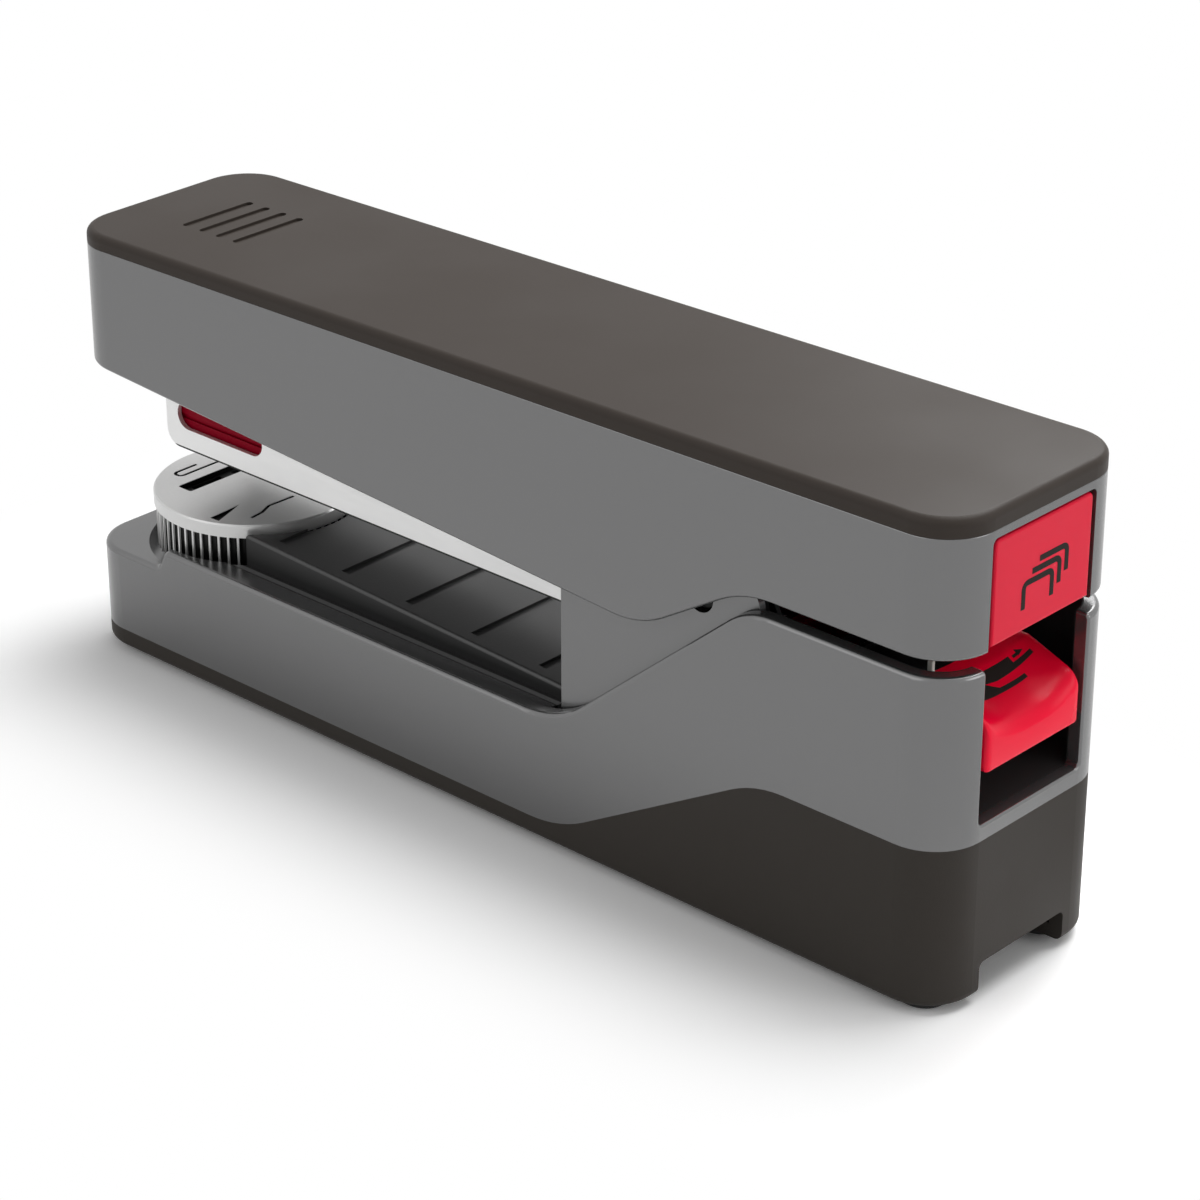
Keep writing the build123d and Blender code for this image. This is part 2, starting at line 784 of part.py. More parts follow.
# Anvil turntable with its knurled side, clinch slot, setting marks and spigot
spigot_bottom_z = nose_floor_bottom_z - spigot_overhang
with BuildPart() as anvil_turntable:
    with BuildSketch(Plane.XY.offset(anvil_floor_z)):
        with Locations((anvil_x, 0)):
            Circle(anvil_radius - knurl_inset)
            with PolarLocations(anvil_radius - knurl_inset, knurl_count):
                Circle(knurl_radius, mode=Mode.SUBTRACT)
    extrude(amount=anvil_height - anvil_band)
    with BuildSketch(Plane.XY.offset(anvil_top_z - anvil_band)):
        with Locations((anvil_x, 0)):
            Circle(anvil_radius)
    extrude(amount=anvil_band)
    chamfer(anvil_turntable.faces().sort_by(Axis.Z)[-1].edges(), anvil_edge)
    with BuildSketch(Plane.XY.offset(spigot_bottom_z)):
        with Locations((anvil_x, 0)):
            Circle(spigot_radius)
    extrude(amount=anvil_floor_z - spigot_bottom_z)
    with BuildSketch(Plane.XY.offset(anvil_top_z - slot_depth)):
        with Locations((anvil_x + slot_x, 0)):
            RectangleRounded(slot_width, 2 * slot_half, slot_corner)
    extrude(amount=slot_depth, mode=Mode.SUBTRACT)
    with BuildSketch(Plane((anvil_x, 0, anvil_top_z - mark_depth))):
        with BuildLine():
            Polyline(*pointer_mark, close=True)
        make_face()
        with BuildLine():
            FilletPolyline(*bracket_mark, radius=bracket_bend)
        trace(line_width=mark_line)
        with BuildLine():
            Polyline(*step_mark)
        trace(line_width=mark_line)
    extrude(amount=mark_depth, mode=Mode.SUBTRACT)
    with BuildSketch(Plane.XY.offset(spigot_bottom_z)):
        with Locations((anvil_x, 0)):
            Circle(screw_radius + screw_clearance)
    extrude(amount=retainer_reach + retainer_end_gap, mode=Mode.SUBTRACT)
finish(anvil_turntable, "anvil_turntable")

# Steel anvil plate in the bottom of the slot, with the two clinch grooves
with BuildPart() as anvil_plate:
    with BuildSketch(Plane.XY.offset(anvil_top_z - slot_depth)):
        with Locations((anvil_x + slot_x, 0)):
            RectangleRounded(slot_width - 2 * deck_fit, 2 * (slot_half - deck_fit), slot_corner - deck_fit)
    extrude(amount=slot_depth - anvil_plate_depth)
    clinch_mid = (clinch_inner + clinch_outer) / 2
    for side in (-1, 1):
        with Locations((anvil_x + slot_x, side * clinch_mid, anvil_top_z - anvil_plate_depth)):
            Box(2 * clinch_half, clinch_outer - clinch_inner, 2 * clinch_depth, mode=Mode.SUBTRACT)
finish(anvil_plate, "anvil_plate")

# Spring washer under the turntable
with BuildPart() as anvil_spring_washer:
    with BuildSketch(Plane.XY.offset(anvil_floor_z - anvil_rest_gap - washer_thickness)):
        with Locations((anvil_x, 0)):
            Circle(anvil_seat_radius - washer_inset)
            Circle(spigot_radius + washer_bore_gap, mode=Mode.SUBTRACT)
    extrude(amount=washer_thickness)
finish(anvil_spring_washer, "anvil_spring_washer")

# Retaining screw with a wide washer head, from below
with BuildPart() as anvil_retaining_screw:
    with BuildSketch(Plane.XY.offset(spigot_bottom_z - retainer_thickness)):
        with Locations((anvil_x, 0)):
            Circle(spigot_radius + retainer_overlap)
    extrude(amount=retainer_thickness)
    with BuildSketch(Plane.XY.offset(spigot_bottom_z)):
        with Locations((anvil_x, 0)):
            Circle(screw_radius)
    extrude(amount=retainer_reach)
    with BuildSketch(Plane.XY.offset(spigot_bottom_z - retainer_thickness - retainer_head)):
        with Locations((anvil_x, 0)):
            Circle(screw_head_radius)
    extrude(amount=retainer_head)
finish(anvil_retaining_screw, "anvil_retaining_screw")

# Handle shell, open below and at the button
handle_bosses = [
    (frame_front_x + frame_screw_front_inset, frame_screw_y),
    (frame_front_x + frame_screw_front_inset, -frame_screw_y),
    (frame_rear_x - frame_screw_rear_inset, frame_screw_y),
    (frame_rear_x - frame_screw_rear_inset, -frame_screw_y),
]
blade_back_x = mag_front_x + blade_offset + blade_thickness
holder_mid_x = blade_back_x + holder_length / 2
blade_screw_spots = [(side * blade_screw_half, holder_bottom_z + blade_screw_rise) for side in (-1, 1)]
cavity_top_front_z = cover_front_z - handle_roof
cavity_top_rear_z = cover_rear_z - handle_roof
button_opening_z = cavity_top_rear_z + button_roof_cut
button_room_x = rear_x - button_depth - button_travel - button_gap

with BuildPart() as handle_cavity:
    with BuildSketch(Plane.XZ):
        with BuildLine():
            Polyline(
                (nose_x, 0),
                (rear_x, 0),
                (rear_x, cavity_top_rear_z),
                (nose_x, cavity_top_front_z),
                close=True,
            )
        make_face()
    extrude(amount=half_w, both=True)
    with BuildSketch(Plane.XY):
        plan_outline(handle_wall)
    extrude(amount=tall, mode=Mode.INTERSECT)

with BuildPart() as handle_shell:
    with BuildSketch(Plane.XZ):
        with BuildLine():
            FilletPolyline(
                (nose_x, handle_nose_z),
                (handle_foot_x, handle_foot_z),
                (handle_top_x, handle_rear_z),
                (rear_x, handle_rear_z),
                (rear_x, cover_rear_z),
                (nose_x, cover_front_z),
                radius=[0, handle_foot_bend, handle_top_bend, 0, 0, 0],
                close=True,
            )
        make_face()
    extrude(amount=half_w, both=True)
    with BuildSketch(Plane.XY):
        plan_outline(0)
    extrude(amount=tall, mode=Mode.INTERSECT)
    lower_faces = handle_shell.faces().filter_by(lambda face: face.normal_at().Z < -facing_limit)
    fillet(outline_edges(lower_faces), handle_edge)
    fillet(handle_shell.faces().sort_by(Axis.Z)[-1].edges(), seam_round)
    add(handle_cavity.part, mode=Mode.SUBTRACT)
    with BuildSketch(Plane.YZ.offset(button_room_x)):
        with Locations((0, button_opening_z / 2)):
            RectangleRounded(2 * opening_half, button_opening_z, opening_corner)
    extrude(amount=rear_x - button_room_x + cut_margin, mode=Mode.SUBTRACT)
    with BuildSketch(Plane.XY.offset(frame_plate_z + frame_plate)):
        with Locations(*handle_bosses):
            Circle(boss_radius)
    extrude(until=Until.NEXT)
    with BuildSketch(Plane.XY.offset(holder_top_z)):
        with Locations((holder_mid_x, blade_screw_half), (holder_mid_x, -blade_screw_half)):
            Circle(holder_boss_radius)
    extrude(until=Until.NEXT)
    with BuildSketch(Plane.XY.offset(frame_plate_z)):
        with Locations(*handle_bosses):
            Circle(screw_radius + screw_clearance)
    extrude(amount=frame_plate + frame_screw_reach + frame_screw_end_gap, mode=Mode.SUBTRACT)
finish(handle_shell, "handle_shell")

# Soft-touch cover on top of the handle
cover_top_front_z = cover_front_z + cover_front_thickness
cover_top_rear_z = cover_rear_z + cover_rear_thickness
cover_tilt = atan2(cover_top_rear_z - cover_top_front_z, length)
cover_normal = (-sin(cover_tilt), 0, cos(cover_tilt))
with BuildPart() as top_cover:
    with BuildSketch(Plane.XZ):
        with BuildLine():
            Polyline(
                (nose_x, cover_front_z),
                (rear_x, cover_rear_z),
                (rear_x, cover_top_rear_z),
                (nose_x, cover_top_front_z),
                close=True,
            )
        make_face()
    extrude(amount=half_w, both=True)
    with BuildSketch(Plane.XY):
        plan_outline(0)
    extrude(amount=2 * tall, mode=Mode.INTERSECT)
    fillet(top_cover.faces().sort_by(Axis.Z)[-1].edges(), cover_edge)
    for index in range(grip_count):
        x = nose_x + grip_from_nose + index * grip_pitch
        z = cover_top_front_z + (x - nose_x) * tan(cover_tilt)
        with BuildSketch(Plane((x, 0, z), x_dir=(0, 1, 0), z_dir=cover_normal)):
            SlotOverall(grip_length, grip_width)
        extrude(amount=-grip_depth, mode=Mode.SUBTRACT)
finish(top_cover, "top_cover")

# Handle frame: steel plate with two ears on the pin and an upright that guides the button
with BuildPart() as handle_frame:
    with BuildSketch(Plane.XY.offset(frame_plate_z)):
        with Locations(((frame_front_x + frame_rear_x) / 2, 0)):
            Rectangle(frame_rear_x - frame_front_x, 2 * ear_out)
    extrude(amount=frame_plate)
    for side in (-1, 1):
        with BuildSketch(Plane.XZ.offset(-side * (ear_in + ear_wall / 2))):
            with BuildLine():
                Polyline(
                    (pin_x - 2 * ear_radius, frame_plate_z),
                    (pin_x - ear_radius, pin_z),
                    (pin_x + ear_radius, pin_z),
                    (pin_x + 2 * ear_radius, frame_plate_z),
                    close=True,
                )
            make_face()
            with Locations((pin_x, pin_z)):
                Circle(ear_radius)
                Circle(bush_radius, mode=Mode.SUBTRACT)
        extrude(amount=ear_wall / 2, both=True)
    with BuildSketch(Plane.YZ.offset(upright_x)):
        with Locations((0, (upright_bottom_z + frame_plate_z) / 2)):
            Rectangle(2 * upright_half, frame_plate_z - upright_bottom_z)
        with Locations((stem_half, stem_z), (-stem_half, stem_z)):
            Circle(stem_radius + fit_gap, mode=Mode.SUBTRACT)
    extrude(amount=upright_wall)
    with BuildSketch(Plane.XY.offset(frame_plate_z)):
        with Locations(*handle_bosses):
            Circle(screw_radius + screw_clearance)
    extrude(amount=frame_plate, mode=Mode.SUBTRACT)
    with BuildSketch(Plane.XY.offset(frame_plate_z - handle_stub_height)):
        with Locations((handle_spring_x, 0)):
            Circle(handle_stub_radius)
    extrude(amount=handle_stub_height)
finish(handle_frame, "handle_frame")

# Frame screws
with BuildPart() as frame_screws:
    with BuildSketch(Plane.XY.offset(frame_plate_z - screw_head_height)):
        with Locations(*handle_bosses):
            Circle(screw_head_radius)
    extrude(amount=screw_head_height)
    with BuildSketch(Plane.XY.offset(frame_plate_z)):
        with Locations(*handle_bosses):
            Circle(screw_radius)
    extrude(amount=frame_plate + frame_screw_reach)
finish(frame_screws, "frame_screws")

# Bushes pressed into the frame's ears
with BuildPart() as handle_bushes:
    for side in (-1, 1):
        with BuildSketch(Plane.XZ.offset(-side * (ear_in + ear_wall / 2))):
            with Locations((pin_x, pin_z)):
                Circle(bush_radius)
                Circle(pin_radius + fit_gap, mode=Mode.SUBTRACT)
        extrude(amount=ear_wall / 2, both=True)
finish(handle_bushes, "handle_bushes")

# Blade holder under the handle's roof
with BuildPart() as blade_holder:
    with BuildSketch(Plane.XY.offset(holder_bottom_z)):
        with Locations((holder_mid_x, 0)):
            Rectangle(holder_length, 2 * holder_half)
    extrude(amount=holder_top_z - holder_bottom_z)
    chamfer(blade_holder.edges().filter_by(Axis.Z).sort_by(Axis.X)[-2:], holder_chamfer)
    with BuildSketch(Plane.YZ.offset(blade_back_x)):
        with Locations(*blade_screw_spots):
            Circle(blade_screw_radius)
    extrude(amount=blade_screw_depth, mode=Mode.SUBTRACT)
finish(blade_holder, "blade_holder")

# Driver blade
blade_bottom_z = drawer_floor_z + seat_gap + staple_height + blade_lift
with BuildPart() as driver_blade:
    with BuildSketch(Plane.YZ.offset(blade_back_x - blade_thickness)):
        with Locations((0, blade_bottom_z + blade_height / 2)):
            Rectangle(2 * blade_half, blade_height)
        with Locations(*blade_screw_spots):
            Circle(blade_screw_radius, mode=Mode.SUBTRACT)
    extrude(amount=blade_thickness)
finish(driver_blade, "driver_blade")

# Screws that clamp the blade to its holder
with BuildPart() as blade_screws:
    with BuildSketch(Plane.YZ.offset(blade_back_x - blade_thickness - blade_screw_head)):
        with Locations(*blade_screw_spots):
            Circle(blade_screw_head_radius)
    extrude(amount=blade_screw_head)
    with BuildSketch(Plane.YZ.offset(blade_back_x - blade_thickness)):
        with Locations(*blade_screw_spots):
            Circle(blade_screw_radius - fit_gap)
    extrude(amount=blade_thickness + blade_screw_depth - blade_screw_end_gap)
finish(blade_screws, "blade_screws")

# Load button with two guide stems
button_front_x = rear_x - button_depth
button_top_z = button_opening_z - button_roof_gap
with BuildPart() as load_button:
    with BuildSketch(Plane.YZ.offset(button_front_x)):
        with Locations((0, (button_bottom_z + button_top_z) / 2)):
            Rectangle(2 * button_half, button_top_z - button_bottom_z)
    extrude(amount=button_depth)
    fillet(load_button.edges().filter_by(Axis.X).group_by(Axis.Z)[-1], button_top_round)
    fillet(load_button.faces().sort_by(Axis.X)[-1].edges(), button_edge)
    with BuildSketch(Plane.XY.offset(button_bottom_z)):
        with Locations((rear_x - button_depth / 2, 0)):
            Rectangle(button_depth - 2 * button_wall, 2 * (button_half - button_wall))
    extrude(amount=button_top_z - button_bottom_z - button_wall, mode=Mode.SUBTRACT)
    with BuildSketch(Plane.YZ.offset(upright_x - stem_overrun)):
        with Locations((stem_half, stem_z), (-stem_half, stem_z)):
            Circle(stem_radius)
    extrude(amount=button_front_x - upright_x + stem_overrun + button_wall)
finish(load_button, "load_button")

# Springs on the button's stems
button_spring_room = button_front_x - upright_x - upright_wall - 2 * seat_gap
button_coil = coil(button_spring_radius, button_spring_wire, button_spring_room, button_spring_turns)
with BuildPart() as button_springs:
    for side in (-1, 1):
        spot = Location((upright_x + upright_wall + seat_gap, side * stem_half, stem_z), (0, 90, 0))
        add(button_coil.moved(spot))
finish(button_springs, "button_springs")

# Handle spring between the magazine bridge and the handle frame
bridge_top_z = mag_top_z + bridge_thickness
handle_spring_room = frame_plate_z - bridge_top_z - 2 * seat_gap
with BuildPart() as handle_spring:
    add(
        coil(handle_spring_radius, handle_spring_wire, handle_spring_room, handle_spring_turns).moved(
            Location((handle_spring_x, 0, bridge_top_z + seat_gap))
        )
    )
finish(handle_spring, "handle_spring")

# Return spring between the yoke floor and the magazine
yoke_top_z = tray_top_z + yoke_floor
return_spring_room = mag_bottom_z - yoke_top_z - 2 * seat_gap
with BuildPart() as return_spring:
    add(
        coil(return_spring_radius, return_spring_wire, return_spring_room, return_spring_turns).moved(
            Location((return_spring_x, 0, yoke_top_z + seat_gap))
        )
    )
finish(return_spring, "return_spring")

# Release lever in the base's rear opening
lever_top_x = rear_x - lever_top_from_rear
lever_top_z = lever_pin_z + lever_top_rise
lever_span = rear_x - lever_pin_x + 2 * lever_hub
with BuildPart() as release_lever:
    with BuildSketch(Plane.XZ):
        with BuildLine():
            FilletPolyline(
                (lever_pin_x, lever_pin_z - lever_hub),
                (lever_spring_x - lever_spring_pocket, lever_spring_top_z),
                (lever_spring_x + lever_spring_pocket, lever_spring_top_z),
                (rear_x - lever_lip, lever_bottom_z),
                (rear_x, lever_bottom_z),
                (rear_x, lever_bottom_z + lever_face),
                (lever_top_x, lever_top_z),
                (lever_pin_x, lever_pin_z + lever_hub),
                radius=[0, 0, 0, lever_lip_bend, edge_round, lever_nose_bend, lever_lip_bend, 0],
                close=True,
            )
        make_face()
        with Locations((lever_pin_x, lever_pin_z)):
            Circle(lever_hub)
            Circle(lever_pin_radius + fit_gap, mode=Mode.SUBTRACT)
    extrude(amount=lever_half, both=True)
    with BuildSketch(Plane.XY):
        with Locations((rear_x - lever_span / 2, 0)):
            RectangleRounded(lever_span, 2 * lever_half, lever_corner)
    extrude(amount=tall, mode=Mode.INTERSECT)
finish(release_lever, "release_lever")

# Lever pin
with BuildPart() as lever_pin:
    with BuildSketch(Plane.XZ):
        with Locations((lever_pin_x, lever_pin_z)):
            Circle(lever_pin_radius)
    extrude(amount=lever_post_y + lever_post_wall / 2, both=True)
finish(lever_pin, "lever_pin")

# Lever spring on its post
lever_spring_room = lever_spring_length - 4 * seat_gap
with BuildPart() as lever_spring:
    add(
        coil(lever_spring_radius, lever_spring_wire, lever_spring_room, lever_spring_turns).moved(
            Location((lever_spring_x, 0, opening_floor_z + seat_gap))
        )
    )
finish(lever_spring, "lever_spring")

# Magazine channel with its ears, side windows and blade exit
channel_front_x = mag_front_x - nose_plate
window_mid_x = mag_front_x + window_start + window_length / 2
window_mid_z = mag_bottom_z + window_rise + window_height / 2
with BuildPart() as magazine_channel:
    with BuildSketch(Plane.XZ):
        with BuildLine():
            FilletPolyline(
                (channel_front_x, mag_bottom_z),
                (mag_rear_x, mag_bottom_z),
                (mag_rear_x, mag_top_z),
                (pin_x + mag_ear_half_length, mag_top_z),
                (pin_x + mag_ear_radius, pin_z),
                (pin_x - mag_ear_radius, pin_z),
                (pin_x - mag_ear_half_length, mag_top_z),
                (channel_front_x, mag_top_z),
                radius=[mag_corner, 0, 0, 0, 0, 0, 0, 0],
                close=True,
            )
        make_face()
        with Locations((pin_x, pin_z)):
            Circle(mag_ear_radius)
            Circle(pin_radius + fit_gap, mode=Mode.SUBTRACT)
        with Locations((window_mid_x, window_mid_z)):
            SlotOverall(window_length, window_height, mode=Mode.SUBTRACT)
    extrude(amount=mag_half, both=True)
    with BuildSketch(Plane.YZ.offset(mag_front_x - cut_margin)):
        with Locations((0, mag_bottom_z + mag_wall + tall / 2)):
            Rectangle(2 * mag_in, tall)
    extrude(amount=mag_rear_x - mag_front_x + 2 * cut_margin, mode=Mode.SUBTRACT)
    with BuildSketch(Plane.XY.offset(mag_bottom_z)):
        with Locations((mag_front_x, 0)):
            Rectangle(2 * (blade_slot + strip_gap), 2 * mag_in)
    extrude(amount=mag_wall, mode=Mode.SUBTRACT)
finish(magazine_channel, "magazine_channel")

# Bridge across the top of the channel
with BuildPart() as magazine_bridge:
    with BuildSketch(Plane.XY.offset(mag_top_z)):
        with Locations(((bridge_front_x + bridge_rear_x) / 2, 0)):
            Rectangle(bridge_rear_x - bridge_front_x, 2 * mag_half)
    extrude(amount=bridge_thickness)
    with BuildSketch(Plane.XY.offset(bridge_top_z)):
        with Locations((handle_spring_x, 0)):
            Circle(handle_stub_radius)
    extrude(amount=handle_stub_height)
finish(magazine_bridge, "magazine_bridge")

# Spring catch that holds the drawer shut, on the channel's back end
with BuildPart() as drawer_catch:
    with BuildSketch(Plane.XZ):
        with BuildLine():
            Polyline(
                (mag_rear_x, mag_bottom_z),
                (mag_rear_x + catch_wall, mag_bottom_z),
                (mag_rear_x + catch_wall, mag_top_z),
                (drawer_tail_x - drawer_tie, mag_top_z - catch_drop),
                (drawer_tail_x - drawer_tie, mag_top_z - catch_drop - catch_wall),
                (mag_rear_x, mag_top_z - catch_wall),
                close=True,
            )
        make_face()
    extrude(amount=catch_width / 2, both=True)
finish(drawer_catch, "drawer_catch")

# Staple drawer
rod_start_x = drawer_rail_x + rod_inset
with BuildPart() as staple_drawer:
    with BuildSketch(Plane.XZ):
        with BuildLine():
            Polyline(
                (mag_front_x, drawer_bottom_z),
                (drawer_tail_x, drawer_bottom_z),
                (drawer_tail_x, drawer_top_z),
                (mag_front_x + drawer_cheek_length + drawer_cheek_rise, drawer_top_z),
                (mag_front_x + drawer_cheek_length, drawer_top_z + drawer_cheek_rise),
                (mag_front_x, drawer_top_z + drawer_cheek_rise),
                close=True,
            )
        make_face()
    extrude(amount=drawer_half, both=True)
    with BuildSketch(Plane.YZ.offset(mag_front_x - cut_margin)):
        with Locations((0, drawer_floor_z + tall / 2)):
            Rectangle(2 * drawer_in, tall)
    extrude(amount=drawer_tail_x - mag_front_x + 2 * cut_margin, mode=Mode.SUBTRACT)
    with BuildSketch(Plane.XY.offset(drawer_bottom_z)):
        with Locations((mag_front_x, 0)):
            Rectangle(2 * blade_slot, 2 * drawer_in)
        with Locations(((drawer_back_x + drawer_back_wall + drawer_tail_x - drawer_tie) / 2, 0)):
            Rectangle(drawer_tail_x - drawer_tie - drawer_back_x - drawer_back_wall, 2 * drawer_in)
    extrude(amount=drawer_floor, mode=Mode.SUBTRACT)
    with BuildSketch(Plane.XY.offset(drawer_floor_z)):
        with Locations((drawer_rail_x + post_length / 2, 0)):
            Rectangle(post_length, 2 * post_half)
    extrude(amount=post_height)
    with BuildSketch(Plane.XY.offset(drawer_floor_z)):
        with Locations((drawer_back_x + drawer_back_wall / 2, 0)):
            Rectangle(drawer_back_wall, 2 * drawer_in)
    extrude(amount=drawer_top_z - drawer_floor_z)
    with BuildSketch(Plane.YZ.offset(rod_start_x)):
        with Locations((0, rod_z)):
            Circle(rod_radius)
    extrude(amount=length, mode=Mode.SUBTRACT)
    groove_mid_x = mag_front_x + side_groove_start + side_groove_length / 2
    groove_mid_z = drawer_bottom_z + side_groove_rise + side_groove_height / 2
    with Locations((groove_mid_x, drawer_half, groove_mid_z), (groove_mid_x, -drawer_half, groove_mid_z)):
        Box(side_groove_length, 2 * side_groove_depth, side_groove_height, mode=Mode.SUBTRACT)
finish(staple_drawer, "staple_drawer")

# Guide rod between the drawer's post and its back wall
with BuildPart() as guide_rod:
    with BuildSketch(Plane.YZ.offset(rod_start_x)):
        with Locations((0, rod_z)):
            Circle(rod_radius - fit_gap)
    extrude(amount=drawer_back_x + drawer_back_wall - rod_start_x)
finish(guide_rod, "guide_rod")

# Nose plate that closes the front of the drawer
nose_top_z = drawer_top_z + drawer_cheek_rise
nose_bottom_z = mag_bottom_z + nose_plate_rise
with BuildPart() as nose_plate_steel:
    with BuildSketch(Plane.YZ.offset(channel_front_x)):
        with Locations((0, (nose_bottom_z + nose_top_z) / 2)):
            Rectangle(2 * drawer_half, nose_top_z - nose_bottom_z)
    extrude(amount=nose_plate)
    fillet(nose_plate_steel.faces().sort_by(Axis.X)[0].edges(), nose_plate_edge)
finish(nose_plate_steel, "nose_plate")

# Staple strip, a row of staples glued into a channel
strip_front_x = drawer_rail_x + strip_gap
staple_count = int(strip_length / staple_pitch)
strip_base_z = drawer_floor_z + seat_gap
with BuildPart() as staple_strip:
    with BuildSketch(Plane.YZ.offset(strip_front_x)):
        with Locations((0, strip_base_z + staple_height / 2)):
            RectangleRounded(2 * staple_half, staple_height, staple_wire)
        with Locations((0, strip_base_z + (staple_height - staple_wire) / 2 - cut_margin / 2)):
            inner_height = staple_height - staple_wire + cut_margin
            Rectangle(2 * (staple_half - staple_wire), inner_height, mode=Mode.SUBTRACT)
    extrude(amount=staple_count * staple_pitch)
    with BuildSketch(Plane.XZ):
        for index in range(1, staple_count):
            with Locations((strip_front_x + index * staple_pitch, strip_base_z + staple_height)):
                Rectangle(staple_cut_width, staple_cut_height)
    extrude(amount=width, both=True, mode=Mode.SUBTRACT)
finish(staple_strip, "staple_strip")

# Staple pusher on the rod
pusher_front_x = strip_front_x + staple_count * staple_pitch + seat_gap
pusher_half = drawer_in - pusher_gap
with BuildPart() as staple_pusher:
    with BuildSketch(Plane.XY.offset(drawer_floor_z + pusher_gap)):
        with Locations((pusher_front_x + pusher_length / 2, 0)):
            Rectangle(pusher_length, 2 * pusher_half)
    extrude(amount=pusher_height)
    chamfer(staple_pusher.faces().sort_by(Axis.Z)[-1].edges(), pusher_chamfer)
    with BuildSketch(Plane.YZ.offset(pusher_front_x - cut_margin)):
        with Locations((0, rod_z)):
            Circle(rod_radius + fit_gap)
    extrude(amount=pusher_length + 2 * cut_margin, mode=Mode.SUBTRACT)
finish(staple_pusher, "staple_pusher")

# Pusher spring around the rod
pusher_back_x = pusher_front_x + pusher_length
pusher_spring_room = drawer_back_x - pusher_back_x - 2 * seat_gap
with BuildPart() as pusher_spring:
    add(
        coil(pusher_spring_radius, pusher_spring_wire, pusher_spring_room, pusher_spring_turns).moved(
            Location((pusher_back_x + seat_gap, 0, rod_z), (0, 90, 0))
        )
    )
finish(pusher_spring, "pusher_spring")
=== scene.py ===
"""Finish a desk stapler: its surfaces, small modelled pieces, and a plain studio stage."""

import json
from math import cos, pi, radians, sin
from typing import NamedTuple

import bmesh
import bpy
from bmesh.types import BMEdge, BMFace, BMVert
from bpy.props import FloatProperty, FloatVectorProperty, IntProperty, PointerProperty
from mathutils import Matrix, Vector
from mathutils.bvhtree import BVHTree


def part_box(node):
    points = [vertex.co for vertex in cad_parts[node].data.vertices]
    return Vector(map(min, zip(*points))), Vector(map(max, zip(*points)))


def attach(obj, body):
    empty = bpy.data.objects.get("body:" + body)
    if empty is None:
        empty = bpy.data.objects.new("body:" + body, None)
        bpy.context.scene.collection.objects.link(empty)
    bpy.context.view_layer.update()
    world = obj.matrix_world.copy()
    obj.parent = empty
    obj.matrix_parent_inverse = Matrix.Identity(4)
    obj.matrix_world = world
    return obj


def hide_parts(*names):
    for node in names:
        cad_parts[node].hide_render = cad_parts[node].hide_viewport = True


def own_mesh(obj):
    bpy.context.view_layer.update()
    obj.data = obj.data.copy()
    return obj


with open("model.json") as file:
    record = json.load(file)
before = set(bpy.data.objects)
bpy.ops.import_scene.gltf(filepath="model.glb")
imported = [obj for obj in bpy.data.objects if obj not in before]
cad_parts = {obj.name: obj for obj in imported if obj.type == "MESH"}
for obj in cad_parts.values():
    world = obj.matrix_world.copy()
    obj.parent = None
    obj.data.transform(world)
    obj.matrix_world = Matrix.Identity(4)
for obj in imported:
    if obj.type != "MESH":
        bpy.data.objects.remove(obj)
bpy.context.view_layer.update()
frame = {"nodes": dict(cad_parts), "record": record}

bl_info = {
    "name": "Desk Stapler Finish",
    "version": (1, 0, 0),
    "blender": (4, 5, 0),
    "location": "View3D > Sidebar > Stapler",
    "description": "Surface finishes, modelled details and a studio stage for a desk stapler",
    "category": "Object",
}

MM = 0.001
WELD = 0.001 * MM
SHARP_ANGLE = radians(32)

LEVER_LOW, LEVER_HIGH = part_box("release_lever")
LEVER_PIN_LOW, LEVER_PIN_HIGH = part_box("lever_pin")
BUTTON_LOW, BUTTON_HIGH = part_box("load_button")
STRIP_LOW, STRIP_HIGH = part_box("staple_strip")
ANVIL_LOW, ANVIL_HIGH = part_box("anvil_turntable")
BASE_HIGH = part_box("base_shell")[1]
DECK_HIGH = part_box("deck_insert")[1]
CHANNEL_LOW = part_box("magazine_channel")[0]
PIN_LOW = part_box("hinge_pin")[0]

# Where painted shade goes (shells' and yoke's insides, anvil's well, channel's lip) and the deck's painted
# flange and seams
PLAN_CORNER = 8.4 * MM
HANDLE_SKIN = 1.0 * MM
BASE_SKIN = 2.2 * MM
YOKE_SKIN = 4.0 * MM
BASE_INSIDE_FROM = 16 * MM
ANVIL_RIM = 0.55 * MM
ANVIL_SKIN = 0.1 * MM
CHANNEL_LIP = 0.3 * MM
DECK_FLANGE = 2.0 * MM
DECK_SEAM = 0.5 * MM
EVERYWHERE = 1
# Roughness where painted shade is laid on dull, so that it mirrors nothing there
DULL_ROUGHNESS = 0.95

# Bump strengths, and how far a metal's pattern is stretched along each axis
GRAIN_STRENGTH = 0.6
LINE_STRENGTH = 0.5
LINES_ALONG = (0.05, 1, 1)
NO_LINES = (1, 1, 1)

# The lever's side outline, inwards from its rear end and upwards from its underside
LEVER_BORE_FIT = 1.05
LEVER_SEAT_FRONT = 18.6 * MM
LEVER_SEAT_REAR = 11.4 * MM
LEVER_SEAT_RISE = 2.6 * MM
LEVER_SOLE_FRONT = 5.0 * MM
LEVER_SOLE_ROUND = 1.6 * MM
LEVER_HEEL_ROUND = 0.5 * MM
LEVER_BROW_ROUND = 3.4 * MM
LEVER_BROW_RISE = 5.3 * MM
LEVER_BROW_SWEEP = 66
LEVER_CREST_FRONT = 9.3 * MM
LEVER_CREST_DROP = 0.4 * MM
# Where the painted shade on the lever's arm ends, inwards from the rear end
LEVER_ARM_END = 12 * MM
LEVER_CUTS = 28
LEVER_SLICES = 16
DISH_FOOT = 2.0 * MM
DISH_RISE = 5.8 * MM
DISH_SQUARENESS = 2.6

